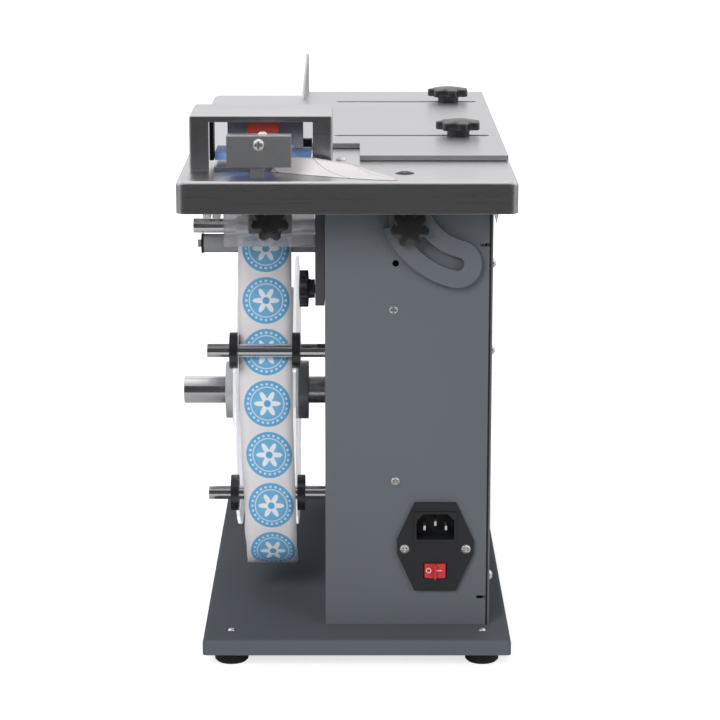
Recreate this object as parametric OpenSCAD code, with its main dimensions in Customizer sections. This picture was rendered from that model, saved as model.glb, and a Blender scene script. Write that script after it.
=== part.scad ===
// Corner labeling machine: a desk unit with a tilting worktable, a label press and a label reel.
// Millimetres. +X to the right, +Y to the back, +Z up. The origin is under the middle of the whole unit.

/* [Overall] */
// Overall width, from the end of the reel shaft to the table's right edge
overall_w = 221; // [215:1:240]
// Height of the table's top above the floor
table_z = 322; // [322:1:340]

/* [Base] */
// Base plate width
base_w = 200; // [190:1:210]
// Base plate depth
base_d = 354; // [345:1:380]
// Height of the base plate's folded lip
base_lip = 10; // [8:0.5:12]
// Sheet thickness of the base plate
base_sheet = 2; // [1.5:0.5:3]
// Outer radius of the base plate's bends and corners
base_bend = 2.5; // [2.5:0.5:4]
// Distance of the base's front edge behind the table's front edge
base_setback = 14; // [10:1:20]
// Foot diameter
foot_d = 22; // [18:1:26]
// Height of the feet that shows below the base plate
foot_show = 10; // [6:1:14]
// Distance of a foot's centre from the base's side edge
foot_inset_x = 18; // [15:1:24]
// Distance of a front foot's centre from the base's front edge
foot_inset_front = 21; // [16:1:30]
// Distance of a back foot's centre from the base's back edge
foot_inset_back = 17; // [15:1:18]

/* [Cabinet] */
// Cabinet shell width
cab_w = 105.2; // [104:0.2:108]
// Distance from the cabinet's back to the base's back edge
cab_inset_back = 21; // [21:1:30]
// Cabinet shell height
cab_h = 276; // [272:1:278]
// Sheet thickness of the cabinet shell
cab_wall = 1.5; // [1:0.25:2]
// Distance of the cabinet's front behind the base's front edge
cab_setback = 33; // [31:1:36]
// Distance of the cabinet's right side from the base's right edge
cab_inset = 15.3; // [14.5:0.1:16]
// Thickness of the black seal under the side cover
seal_t = 1.2; // [0.8:0.2:1.6]
// Sheet thickness of the side cover
cover_t = 1.2; // [1:0.1:1.5]
// Width of the flange that carries the side cover
cover_flange = 14; // [12:1:18]

/* [Inlet] */
// Width of the mains inlet's plate
inlet_w = 50; // [48:0.5:52]
// Height of the mains inlet's plate
inlet_h = 59.5; // [57:0.5:61]
// Width of the inlet plate's top and bottom edges
inlet_edge = 27; // [26:0.5:30]
// Thickness of the inlet's plate
inlet_t = 3; // [2:0.5:4]
// Distance between the inlet's two screws
inlet_pitch = 40; // [39:0.5:41]
// Depth of the inlet's body behind the panel
inlet_body_d = 28; // [24:1:34]
// Height of the inlet's centre above the base plate
inlet_up = 54; // [50:1:60]
// Distance of the inlet's centre from the cabinet's right side
inlet_in = 33.4; // [30:0.2:36]

/* [Table] */
// Worktable width
table_w = 212; // [206:1:220]
// Worktable depth
table_d = 450; // [440:2:470]
// Height of the worktable's folded lip
table_lip = 20.5; // [18:0.5:22]
// Sheet thickness of the worktable
table_sheet = 1.5; // [1:0.25:2]
// Outer radius of the worktable's bends
table_bend = 3; // [2.5:0.25:4]
// Radius of the worktable's corners
table_corner = 7; // [6:0.5:10]

/* [Tilt] */
// Distance of the hinge axis from the cabinet's right side
hinge_in = 10; // [9:0.5:11]
// Distance of the hinge axis below the table's sheet
hinge_drop = 13.1; // [12.5:0.1:14]
// Hinge rod diameter
hinge_rod_d = 8; // [6:0.5:9]
// Radius of the tilt slot's middle line
arc_r = 46; // [44:0.5:47]
// Half width of the tilt plate's curved band
arc_half = 15.6; // [14:0.2:16]
// Width of the tilt slot
arc_slot = 8.6; // [8.4:0.1:9.5]
// Angle of the slot's lower end from straight below the hinge
arc_from = 13.4; // [10:0.2:16]
// Angle of the tilt stud from straight below the hinge
stud_angle = 64; // [62:1:66]
// Thickness of the tilt plate
arc_t = 3; // [2:0.5:3.5]
// Gap between the cabinet's front and the tilt plate, filled by a spacer
arc_gap = 3; // [2:0.5:4]

/* [Knobs] */
// Diameter of the two large star knobs on the table
knob_big = 31; // [28:1:34]
// Diameter of the small star knobs
knob_small = 25; // [22:1:27]
// Height of a star knob's head
knob_h = 7; // [6:0.5:10]
// Number of lobes on a star knob
knob_lobes = 7; // [6:1:8]
// Diameter of the tilt stud
stud_tilt_d = 8; // [6:0.5:8]
// Diameter of the other knobs' studs
stud_d = 6; // [5:0.5:6.5]

/* [Guide plate] */
// Thickness of the guide plate
guide_t = 3.2; // [2.5:0.1:4]
// Width of the guide plate
guide_w = 140.5; // [136:0.5:146]
// Distance of the guide plate's front edge behind the table's front edge
guide_front = 88; // [84:1:92]
// Distance of the guide plate's back edge before the table's back edge
guide_back = 8; // [6:1:14]
// Width of the step in the guide plate's front
step_w = 44; // [40:0.5:48]
// Depth of the step in the guide plate's front
step_d = 58; // [54:1:62]
// Width of the guide plate's slots
guide_slot = 7; // [6.8:0.1:8]
// Length of the guide plate's slots, end to end
guide_slot_l = 106.5; // [100:0.5:110]
// Fence height
fence_h = 30; // [24:1:34]
// Fence length
fence_l = 50; // [44:1:56]
// Fence thickness
fence_t = 1.5; // [1:0.25:2]

/* [Head] */
// Head cover width
hood_w = 90.2; // [88:0.2:94]
// Head cover depth
hood_d = 56; // [52:1:60]
// Head cover height
hood_h = 35.5; // [35:0.5:37]
// Head cover sheet thickness
hood_sheet = 1.2; // [1:0.1:1.5]
// Width of the head cover's front legs
hood_leg = 12.3; // [11:0.1:13]
// Depth of the head cover's front top lip
hood_lip = 4.6; // [4:0.2:5.5]
// Distance of the head cover behind the table's front edge
hood_back = 44; // [42:1:46]
// Distance of the head cover from the table's left edge
hood_in = 6.2; // [5:0.2:8]
// Width of the clamp block
clamp_w = 40; // [36:1:42]
// Height of the clamp block
clamp_h = 19.5; // [18:0.5:22]
// Depth of the clamp block
clamp_d = 13; // [13:0.5:16]
// Height of the clamp block's underside above the table
clamp_up = 7; // [6.6:0.2:9]
// Press pad width
pad_w = 61; // [58:1:62]
// Press pad depth
pad_d = 34; // [30:1:36]
// Press pad thickness
pad_t = 4.6; // [4:0.2:5]

/* [Label tape] */
// Width of the label tape
tape_w = 35.4; // [34:0.2:36]
// Thickness of the label tape's solid
tape_t = 0.4; // [0.3:0.05:0.5]
// Distance of the tape's centre line from the table's left edge
tape_in = 51.2; // [50.6:0.2:52]

/* [Reel] */
// Diameter of the clear side discs
disc_d = 189; // [180:1:190]
// Thickness of the clear side discs
disc_t = 2; // [1.5:0.5:3]
// Diameter of the wound label roll
roll_d = 144; // [120:1:160]
// Reel shaft diameter
shaft_d = 19; // [16:0.5:20]
// Outer diameter of the reel's sleeve
sleeve_d = 25; // [24:0.5:27]
// Wall of the roll's paper core
core_wall = 3; // [2:0.5:4]
// Diameter of the left hub flange
hub_flange_d = 53; // [48:1:58]
// Diameter of the left hub
hub_d = 40; // [32:1:42]
// Diameter of the right nut
hub_nut_d = 41; // [36:1:44]
// Height of the reel's axis above the base plate
reel_up = 125; // [123:1:130]
// Distance of the reel's axis behind the cabinet's front
reel_behind = 144; // [142:1:150]

/* [Guide rods] */
// Guide rod diameter
rod_d = 9; // [8:0.5:10]
// Distance of the rods behind the cabinet's front
rod_behind = 47; // [45:1:48]
// Height of the upper rod above the base plate
rod_hi = 174.7; // [174:0.1:178]
// Height of the lower rod above the base plate
rod_lo = 77.1; // [74:0.1:78]
// Distance that the rods reach out of the cabinet
rod_reach = 78.5; // [76:0.5:84]
// Collar diameter
collar_d = 24; // [20:0.5:24]
// Collar width
collar_w = 5.2; // [4:0.2:6]

/* [Feed] */
// Feed roller diameter
feed_d = 12.4; // [11:0.2:13]
// Feed axle diameter
feed_axle_d = 5; // [4:0.5:6]
// Pinch axle diameter
pinch_axle_d = 9.5; // [8:0.5:10]
// Distance of the feed roller's axis below the table's top
feed_drop = 58; // [57:0.5:60]
// Distance of the feed roller's axis behind the cabinet's front
feed_behind = 63; // [61:0.5:65]
// Forward offset of the pinch roller's axis from the feed roller's
pinch_ahead = 7; // [5:0.5:9]
// Upward offset of the pinch roller's axis from the feed roller's
pinch_above = 13; // [12:0.5:14]
// Thickness of the head bracket
bracket_t = 6; // [5:0.5:6.5]
// Motor body width
motor_w = 42; // [40:1:44]
// Motor body length
motor_l = 40; // [34:1:48]
// Thickness of the clear guide plate under the table
clear_t = 4; // [3:0.5:5]
// Width of the clear guide plate
clear_w = 59; // [56:1:59]
// Distance of the clear guide plate's lower edge below the table's top
clear_drop = 53.7; // [50:0.1:56]

/* [Hidden] */
$fn = 48;
// Running clearance on a radius
run = 0.05;
// Clearance between pieces of different bodies
clear = 0.4;
// A small overshoot for cuts
cut = 1;

// Edges of the table, base and cabinet
table_right = overall_w / 2;
table_left = table_right - table_w;
table_front = -table_d / 2;
table_back = table_d / 2;
table_under = table_z - table_sheet;
base_right = table_right;
base_left = base_right - base_w;
base_front = table_front + base_setback;
base_back = base_front + base_d;
base_top = foot_show + base_lip;
foot_xs = [base_left + foot_inset_x, base_right - foot_inset_x];
foot_ys = [base_front + foot_inset_front, base_back - foot_inset_back];
cab_right = base_right - cab_inset;
cab_left = cab_right - cab_w;
cab_front = base_front + cab_setback;
cab_d = base_d - cab_setback - cab_inset_back;
cab_back = cab_front + cab_d;
cab_top = base_top + cab_h;
cover_face = cab_right + seal_t + cover_t;

// Small pan head screws
screw_d = 3;
screw_head_d = 6.8;
screw_head_h = 2.4;
// Room at the end of a screw or shaft in its hole
tip_room = 2;
face_screw_in = 44;
face_screw_shift = 1.6;
face_screw_hi = 211.7;
face_screw_lo = 97.7;
face_screw_l = 6;
face_screw_xs = [cab_left + face_screw_in, cab_left + face_screw_in + face_screw_shift];
face_screw_zs = [base_top + face_screw_hi, base_top + face_screw_lo];
cover_screw_lo = 32;
cover_screw_mid = 184;
cover_screw_hi = 241;
cover_screw_l = 5;
cover_screw_zs = [base_top + cover_screw_lo, base_top + cover_screw_mid, base_top + cover_screw_hi];
cover_screw_ys = [cab_front + cover_flange / 2, cab_back - cover_flange / 2];
// Relief slots at the right edge of the front face
relief_w = 6;
relief_h = 2;
relief_lo = 18.9;
relief_hi = 254;
relief_zs = [base_top + relief_lo, base_top + relief_hi];
// A small round hole in the front face
vent_in = 45.3;
vent_up = 242;
vent_x = cab_left + vent_in;
vent_z = base_top + vent_up;
vent_d = 4.3;

// Tilt hinge and its locking slot
hinge_x = cab_right - hinge_in;
hinge_z = table_under - hinge_drop;
hinge_plate = 4;
lug_r = 8.5;
stud_x = hinge_x - arc_r * sin(stud_angle);
stud_z = hinge_z - arc_r * cos(stud_angle);
arc_back = cab_front - arc_gap;
arc_front = arc_back - arc_t;
arc_past = 5;
arc_to = stud_angle + arc_past;
neck_h = 4;

// Guide plate
guide_margin = 1.5;
guide_right = table_right - guide_margin;
guide_left = guide_right - guide_w;
guide_y0 = table_front + guide_front;
guide_y1 = table_back - guide_back;
guide_z = table_z + clear;
guide_top = guide_z + guide_t;
guide_slot_behind = 97;
guide_slot_before = 65;
guide_slot_in = 7.5;
guide_stud_in = 29;
guide_slot_ys = [guide_y0 + guide_slot_behind, guide_y1 - guide_slot_before];
guide_slot_right = guide_right - guide_slot_in;
guide_stud_x = guide_right - guide_stud_in;

// Label tape, reel and rods
tape_cx = table_left + tape_in;
tape_l = tape_cx - tape_w / 2;
tape_r = tape_cx + tape_w / 2;
reel_y = cab_front + reel_behind;
reel_z = base_top + reel_up;
disc_gap_left = 2;
disc_gap_right = 0.4;
disc_l = tape_l - disc_gap_left;
disc_r = tape_r + disc_gap_right;
hub_flange_t = 4;
hub_t = 5;
hub_nut_t = 7;
rod_y = cab_front + rod_behind;
rod_z_hi = base_top + rod_hi;
rod_z_lo = base_top + rod_lo;
rod_left = cab_left - rod_reach;
nut_t = 5;

// Feed rollers and the bracket that carries them
feed_y = cab_front + feed_behind;
feed_z = table_z - feed_drop;
pinch_y = feed_y - pinch_ahead;
pinch_z = feed_z + pinch_above;
nip = 0.2;
pinch_d = 2 * (norm([pinch_ahead, pinch_above]) - tape_t - 2 * nip) - feed_d;
bracket_right = cab_left - clear;
bracket_left = bracket_right - bracket_t;
bracket_behind = 13;
bracket_d = 105;
bracket_drop = 90.2;
bracket_y0 = cab_front + bracket_behind;
bracket_y1 = bracket_y0 + bracket_d;
bracket_low = table_z - bracket_drop;
bracket_flange = 18;
flange_t = 3;
motor_room = 3;
bracket_knob_in = 15;
bracket_knob_up = 8.2;
bracket_knob_y = bracket_y0 + bracket_knob_in;
bracket_knob_z = bracket_low + bracket_knob_up;
bracket_knob_h = 6.4;
bracket_knob_d = 24.4;
dome_screw_in = 10.6;
dome_screw_x = bracket_right + dome_screw_in;
dome_screw_d = 4;
clear_right = bracket_left - clear;
clear_left = clear_right - clear_w;
clear_behind = 26;
clear_y = cab_front + clear_behind;
clear_low = table_z - clear_drop;
clear_stud_in = 29;
clear_stud_drop = 36.7;
clear_stud_x = clear_right - clear_stud_in;
clear_stud_z = table_z - clear_stud_drop;

// Head
hood_l = table_left + hood_in;
hood_r = hood_l + hood_w;
hood_y0 = table_front + hood_back;
hood_y1 = hood_y0 + hood_d;
hood_under = table_z + hood_h - hood_sheet;
peel_t = 1.5;
peel_w = 60;
pad_up = 5;
pad_in = 14;
pad_z = table_z + pad_up;
pad_y0 = hood_y0 + pad_in;
plunger_d = 6;
coil_w = 20;
coil_d = 16;
coil_in = 9;
coil_up = 18;
coil_room = 4;
coil_y = pad_y0 + coil_in;
coil_z = table_z + coil_up;
coil_top = hood_under - coil_room;
frame_y = coil_y + coil_d / 2;
frame_t = 6;
clamp_in = 11;
clamp_y = table_front + clamp_in;
clamp_z = table_z + clamp_up;
post_w = 8.6;
dome_before = 8;
dome_screw_y = hood_y1 - dome_before;

// Inlet
inlet_x = cab_right - inlet_in;
inlet_z = base_top + inlet_up;
inlet_screw_drop = 1.4;
inlet_screw_z = inlet_z - inlet_screw_drop;
socket_w = 24.6;
socket_h = 17.2;
socket_up = 14;
socket_z = inlet_z + socket_up;
socket_rim = 1;
socket_d = 16;
rim_w = 1.5;
inlet_screw_l = 8;
pin_w = 1.5;
pin_h = 3.2;
pin_back = 2;
pin_pitch = 7;
pin_rise = 1.5;
pin_points = [[-pin_pitch, -pin_rise], [0, pin_rise], [pin_pitch, -pin_rise]];
rocker_h = 9.6;
rocker_r = 7.3;
rocker_in = 2.4;
rocker_drop = 16;
rocker_y = cab_front - inlet_t + rocker_in;
rocker_z = inlet_z - rocker_drop;
rocker_gap = 0.35;
rocker_ridge = 4.2;
rocker_slope = 10;
body_w = 28;
body_h = 48;

// Points of the label tape's middle line, as [y, z]
function bezier(a, b, c, d, t) =
  pow(1 - t, 3) * a + 3 * t * pow(1 - t, 2) * b + 3 * t * t * (1 - t) * c + pow(t, 3) * d;
function run_bezier(a, b, c, d, n) = [for (i = [0 : n]) bezier(a, b, c, d, i / n)];
function on_circle(centre, r, angle) = centre + r * [cos(angle), sin(angle)];
rest = 0.3;
tape_off = rest + tape_t / 2;
roll_leave = -70;
roll_point = on_circle([reel_y, reel_z], roll_d / 2 + tape_off, roll_leave);
low_point = [rod_y - rod_d / 2 - tape_off, rod_z_lo];
high_point = [rod_y + rod_d / 2 + tape_off, rod_z_hi];
split_drop = 82;
split_z = table_z - split_drop;
feed_wrap = feed_d / 2 + nip + tape_t / 2;
feed_touch = on_circle([feed_y, feed_z], feed_wrap, 180);
nip_angle = 90 + atan2(pinch_ahead, pinch_above);
nip_point = on_circle([feed_y, feed_z], feed_wrap, nip_angle);
split_t = (split_z - rod_z_hi) / (feed_z - rod_z_hi);
split_point = high_point + split_t * (feed_touch - high_point);
tape_lift = 0.5;
tape_over_peel = table_z + peel_t + tape_lift + tape_t / 2;
slot_behind = 19;
slot_y = feed_y + slot_behind;
slot_d = 24;
slot_side = 3;
exit_dir = [cos(nip_angle - 90), sin(nip_angle - 90)];
exit_run = 12;
exit_pull = 17;
peel_pull = 20;
peel_back_in = 7;
peel_front_in = 3;
exit_point = nip_point + exit_run * exit_dir;
peel_back = [slot_y - peel_back_in, tape_over_peel];
peel_front = [hood_y0 + peel_front_in, tape_over_peel];
// How far the slack loop hangs out below the roll and below the lower rod
loop_roll = 70;
loop_rod = 95;
low_route = concat(
  run_bezier(roll_point, roll_point - loop_roll * [sin(-roll_leave), cos(roll_leave)],
    low_point - [0, loop_rod], low_point, 16),
  [high_point],
  [split_point - [0, clear / 2]]
);
high_route = concat(
  [split_point + [0, clear / 2]],
  [for (i = [0 : 4]) on_circle([feed_y, feed_z], feed_wrap, 180 + (nip_angle - 180) * i / 4)],
  run_bezier(exit_point, exit_point + exit_pull * exit_dir, peel_back + [peel_pull, 0], peel_back, 10),
  [peel_front]
);
// Outline of a strip of thickness t along a line of points
function unit(v) = v / norm(v);
function left_of(v) = [-v[1], v[0]];
function normal_at(p, i) =
  left_of(unit(p[min(i + 1, len(p) - 1)] - p[max(i - 1, 0)]));
function strip_outline(p, t) = concat(
  [for (i = [0 : len(p) - 1]) p[i] + normal_at(p, i) * t / 2],
  [for (i = [len(p) - 1 : -1 : 0]) p[i] - normal_at(p, i) * t / 2]
);

// Colours
paint = "#5f656b";
steel = "#c9cacd";
dark_steel = "#464a50";
black = "#1b1b1d";

// An axis along +X or +Y in place of +Z
module along_x(x, y, z) translate([x, y, z]) rotate([0, 90, 0]) children();
module along_y(x, y, z) translate([x, y, z]) rotate([-90, 0, 0]) children();
// An outline in Y and Z, extruded along +X, and one in X and Z, extruded along +Y
module side_outline(x, t) translate([x, 0, 0]) rotate([90, 0, 90]) linear_extrude(t) children();
module front_outline(y, t) translate([0, y + t, 0]) rotate([90, 0, 0]) linear_extrude(t) children();
// A block from its low corner to its high corner
module block(low, high) translate(low) cube(high - low);

// A sheet with folded edges all round, its top at z = 0, with round bends and corners
module rim_profile(corner, bend, lip, sheet) {
  difference() {
    union() {
      translate([0, -lip]) square([corner, lip - bend]);
      translate([0, -bend]) square([corner - bend, bend]);
      translate([corner - bend, -bend]) intersection() {
        circle(bend);
        square(bend);
      }
    }
    translate([-cut, -lip - cut]) square([corner - sheet + cut, lip + cut - sheet]);
  }
}
module folded_sheet(w, d, lip, sheet, bend, corner) {
  in_w = w - 2 * corner;
  in_d = d - 2 * corner;
  translate([-in_w / 2, -in_d / 2, -sheet]) cube([in_w, in_d, sheet]);
  for (s = [[0, in_w / 2, in_d], [90, in_d / 2, in_w], [180, in_w / 2, in_d], [270, in_d / 2, in_w]])
    rotate(s[0]) translate([s[1], s[2] / 2, 0]) rotate([90, 0, 0]) linear_extrude(s[2])
      rim_profile(corner, bend, lip, sheet);
  for (s = [[0, 1, 1], [90, -1, 1], [180, -1, -1], [270, 1, -1]])
    translate([s[1] * in_w / 2, s[2] * in_d / 2, 0]) rotate(s[0]) rotate_extrude(angle = 90)
      rim_profile(corner, bend, lip, sheet);
}

// A pan head screw: its head stands on z = 0 and its shank goes down
module pan_screw(head_d, head_h, shank_d, shank_l) {
  recess = head_d * 0.16;
  dome = (pow(head_d / 2, 2) + pow(head_h, 2)) / (2 * head_h);
  difference() {
    intersection() {
      cylinder(d = head_d, h = head_h);
      translate([0, 0, head_h - dome]) sphere(dome);
    }
    for (a = [0, 90])
      rotate(a) translate([-head_d * 0.3, -recess / 2, head_h * 0.5]) cube([head_d * 0.6, recess, head_h]);
  }
  translate([0, 0, -shank_l]) cylinder(d = shank_d, h = shank_l);
}

// A star knob: its neck stands on z = 0, with a blind bore from below
module star_knob(d, head_h, bore_d) {
  scallop = d * 0.13;
  neck_d = d * 0.5;
  difference() {
    union() {
      cylinder(d = neck_d, h = neck_h + head_h / 2);
      translate([0, 0, neck_h]) intersection() {
        difference() {
          cylinder(d = d, h = head_h);
          for (i = [0 : knob_lobes - 1])
            rotate((i + 0.5) * 360 / knob_lobes) translate([d * 0.53, 0, -cut])
              cylinder(r = scallop, h = head_h + 2 * cut);
        }
        rotate_extrude() {
          square([d * 0.4, head_h]);
          translate([0, head_h * 0.15]) square([d / 2, head_h * 0.5]);
          polygon([[d * 0.4, 0], [d / 2, head_h * 0.15], [d / 2, head_h * 0.65], [d * 0.4, head_h]]);
        }
      }
    }
    translate([0, 0, -cut]) cylinder(d = bore_d + 2 * run, h = neck_h + head_h * 0.5 + cut);
  }
}

module tube(outer, inner, h) {
  difference() {
    cylinder(d = outer, h = h);
    translate([0, 0, -cut]) cylinder(d = inner, h = h + 2 * cut);
  }
}

// Base

corner_grow = 0.5;
module base_plate() color(paint) difference() {
  translate([(base_left + base_right) / 2, (base_front + base_back) / 2, base_top])
    folded_sheet(base_w, base_d, base_lip, base_sheet, base_bend, base_bend + corner_grow);
  for (x = foot_xs, y = foot_ys)
    translate([x, y, base_top - base_sheet - cut]) cylinder(d = screw_d + 2 * run, h = base_sheet + 2 * cut);
}

foot_bevel = 1.5;
foot_floor = 4;
module rubber_feet() color(black) for (x = foot_xs, y = foot_ys) translate([x, y, 0]) difference() {
  rotate_extrude() polygon([
    [0, 0], [foot_d / 2 - foot_bevel, 0], [foot_d / 2, foot_bevel],
    [foot_d / 2, base_top - base_sheet], [0, base_top - base_sheet]
  ]);
  translate([0, 0, foot_floor]) cylinder(d = screw_d + 2 * run, h = base_top);
}

foot_head_d = 5;
foot_head_h = 1.6;
module foot_screws() color(steel) for (x = foot_xs, y = foot_ys)
  translate([x, y, base_top])
    pan_screw(foot_head_d, foot_head_h, screw_d, base_top - foot_floor - tip_room);

// Cabinet

// A round hole through the cabinet's front sheet, and one through its left sheet
module front_hole(x, z, d) along_y(x, cab_front - cut, z) cylinder(d = d, h = cab_wall + 2 * cut);
module left_hole(y, z, d) along_x(cab_left - cut, y, z) cylinder(d = d, h = cab_wall + 2 * cut);

module cabinet_shell() color(paint) difference() {
  block([cab_left, cab_front, base_top], [cab_right, cab_back, cab_top]);
  block([cab_left + cab_wall, cab_front + cab_wall, base_top + cab_wall],
    [cab_right - cab_wall, cab_back - cab_wall, cab_top + cut]);
  block([cab_right - 2 * cab_wall, cab_front + cover_flange, base_top + cover_flange],
    [cab_right + cut, cab_back - cover_flange, cab_top + cut]);
  for (i = [0, 1])
    front_hole(face_screw_xs[i], face_screw_zs[i], screw_d + 2 * run);
  front_hole(vent_x, vent_z, vent_d);
  front_hole(stud_x, stud_z, stud_tilt_d + 2 * run);
  for (s = [-1, 1])
    front_hole(inlet_x + s * inlet_pitch / 2, inlet_screw_z, screw_d + 2 * run);
  block([inlet_x - body_w / 2 - run, cab_front - cut, inlet_z - body_h / 2 - run],
    [inlet_x + body_w / 2 + run, cab_front + cab_wall + cut, inlet_z + body_h / 2 + run]);
  for (z = [rod_z_hi, rod_z_lo])
    left_hole(rod_y, z, rod_d + 2 * run);
  left_hole(reel_y, reel_z, shaft_d + 2 * run);
  for (z = relief_zs)
    block([cab_right - relief_w, cab_front - cut, z - relief_h / 2],
      [cab_right + cut, cab_front + cab_wall, z + relief_h / 2]);
  block([cab_left - cut, feed_y - motor_w / 2 - motor_room, feed_z - motor_w / 2 - motor_room],
    [cab_left + cab_wall + cut, feed_y + motor_w / 2 + motor_room, cab_top + cut]);
  for (y = cover_screw_ys, z = cover_screw_zs)
    along_x(cab_right - 2 * cab_wall, y, z) cylinder(d = screw_d + 2 * run, h = 2 * cab_wall + cut);
}

// The side cover's outline, in Y and Z
module cover_outline() translate([cab_front, base_top]) square([cab_d, cab_h]);

module cover_holes(x, t) for (y = cover_screw_ys, z = cover_screw_zs)
  along_x(x - cut, y, z) cylinder(d = screw_d + 2 * run, h = t + 2 * cut);

module cover_seal() color(black) difference() {
  side_outline(cab_right, seal_t) difference() {
    cover_outline();
    translate([cab_front + cover_flange, base_top + cover_flange])
      square([cab_d - 2 * cover_flange, cab_h]);
  }
  cover_holes(cab_right, seal_t);
}

module side_cover() color(paint) difference() {
  side_outline(cab_right + seal_t, cover_t) cover_outline();
  cover_holes(cab_right + seal_t, cover_t);
}

// The pan head screws of the cover, the front face and the mains inlet
module case_screws() color(steel) {
  for (y = cover_screw_ys, z = cover_screw_zs)
    along_x(cover_face, y, z) pan_screw(screw_head_d, screw_head_h, screw_d, cover_screw_l);
  for (i = [0, 1])
    along_y(face_screw_xs[i], cab_front, face_screw_zs[i]) rotate([180, 0, 0])
      pan_screw(screw_head_d, screw_head_h, screw_d, face_screw_l);
  for (s = [-1, 1])
    along_y(inlet_x + s * inlet_pitch / 2, cab_front - inlet_t, inlet_screw_z) rotate([180, 0, 0])
      pan_screw(screw_head_d, screw_head_h, screw_d, inlet_screw_l);
}

// Mains inlet

inlet_side = 4.5;
module inlet_plate_outline() polygon([
  for (s = [[1, 1], [1, -1], [-1, -1], [-1, 1]])
    each (s[0] == s[1]
      ? [[s[0] * inlet_edge / 2, s[1] * inlet_h / 2], [s[0] * inlet_w / 2, s[1] * inlet_side]]
      : [[s[0] * inlet_w / 2, s[1] * inlet_side], [s[0] * inlet_edge / 2, s[1] * inlet_h / 2]])
]);

module socket_outline() {
  chamfer = 4.5;
  polygon([
    [-socket_w / 2, -socket_h / 2], [socket_w / 2, -socket_h / 2], [socket_w / 2, socket_h / 2 - chamfer],
    [socket_w / 2 - chamfer, socket_h / 2], [chamfer - socket_w / 2, socket_h / 2],
    [-socket_w / 2, socket_h / 2 - chamfer]
  ]);
}

module inlet_housing() color(black) difference() {
  union() {
    translate([inlet_x, 0, inlet_z]) front_outline(cab_front - inlet_t, inlet_t) inlet_plate_outline();
    block([inlet_x - body_w / 2, cab_front - inlet_t, inlet_z - body_h / 2],
      [inlet_x + body_w / 2, cab_front + inlet_body_d, inlet_z + body_h / 2]);
    translate([inlet_x, 0, socket_z]) front_outline(cab_front - inlet_t - socket_rim, inlet_t)
      square([socket_w + 2 * rim_w, socket_h + 2 * rim_w], center = true);
  }
  translate([inlet_x, 0, socket_z]) front_outline(cab_front - inlet_t - socket_rim - cut, socket_d + cut)
    socket_outline();
  block([inlet_x - rocker_r - rocker_gap, cab_front - inlet_t - cut, rocker_z - rocker_h / 2 - rocker_gap],
    [inlet_x + rocker_r + rocker_gap, rocker_y + rocker_r + cut, rocker_z + rocker_h / 2 + rocker_gap]);
  for (s = [-1, 1])
    along_y(inlet_x + s * inlet_pitch / 2, cab_front - inlet_t - cut, inlet_screw_z)
      cylinder(d = screw_d + 2 * run, h = inlet_t + 2 * cut);
}

module inlet_pins() color(steel) for (p = pin_points)
  translate([inlet_x + p[0] - pin_w / 2, cab_front - inlet_t + pin_back, socket_z + p[1] - pin_h / 2])
    cube([pin_w, socket_d - socket_rim - pin_back, pin_h]);

// The rocker turns about an upright axis. Its two faces slope back from a ridge in the middle.
module rocker_switch() color("#c2201f") difference() {
  translate([inlet_x, rocker_y, rocker_z - rocker_h / 2]) cylinder(r = rocker_r, h = rocker_h);
  for (s = [1, -1])
    translate([inlet_x, rocker_y - rocker_ridge, rocker_z]) rotate([0, 0, s * rocker_slope])
      translate([s > 0 ? 0 : -2 * rocker_r, -2 * rocker_r, -rocker_h])
        cube([2 * rocker_r, 2 * rocker_r, 2 * rocker_h]);
}

// Inside the cabinet

psu_w = 60;
psu_d = 110;
psu_h = 40;
psu_in = 12;
psu_behind = 120;
psu_x = cab_left + psu_in;
psu_y = cab_front + psu_behind;
psu_top = base_top + cab_wall + psu_h;
vent_pitch = 10;
module power_supply() color(steel) difference() {
  block([psu_x, psu_y, base_top + cab_wall], [psu_x + psu_w, psu_y + psu_d, psu_top]);
  for (i = [1 : floor(psu_w / vent_pitch) - 1], j = [1 : floor(psu_d / vent_pitch) - 1])
    translate([psu_x + i * vent_pitch, psu_y + j * vent_pitch, psu_top - cut])
      cylinder(d = vent_pitch / 2, h = 2 * cut);
}

board_w = 70;
board_h = 80;
board_t = 1.6;
board_in = 15;
board_up = 100;
board_x = cab_left + board_in;
board_z = base_top + board_up;
standoff = 8;
standoff_d = 6;
board_y = cab_back - cab_wall - standoff;
// Three capacitors, a chip and a plug on the board, each from the board's lower left corner
cap_d = 9;
cap_l = 12;
cap_in = 12;
cap_up = 14;
cap_pitch = 14;
chip_w = 18;
chip_t = 3;
chip_in = 12;
chip_up = 34;
plug_w = 26;
plug_h = 10;
plug_t = 8;
plug_in = 38;
plug_up = 64;
module board_block(x, z, w, h, d)
  block([board_x + x, board_y - board_t - d, board_z + z], [board_x + x + w, board_y - cut, board_z + z + h]);

module control_board() color("#2c6b45") union() {
  block([board_x, board_y - board_t, board_z], [board_x + board_w, board_y, board_z + board_h]);
  for (i = [0 : 2])
    along_y(board_x + cap_in + i * cap_pitch, board_y - board_t - cap_l, board_z + cap_up)
      cylinder(d = cap_d, h = cap_l + cut);
  board_block(chip_in, chip_up, chip_w, chip_w, chip_t);
  board_block(plug_in, plug_up, plug_w, plug_h, plug_t);
}

module board_standoffs() color(steel)
  for (x = [board_x + standoff_d, board_x + board_w - standoff_d])
    for (z = [board_z + standoff_d, board_z + board_h - standoff_d])
      along_y(x, board_y, z) cylinder(d = standoff_d, h = standoff, $fn = 6);

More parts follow.
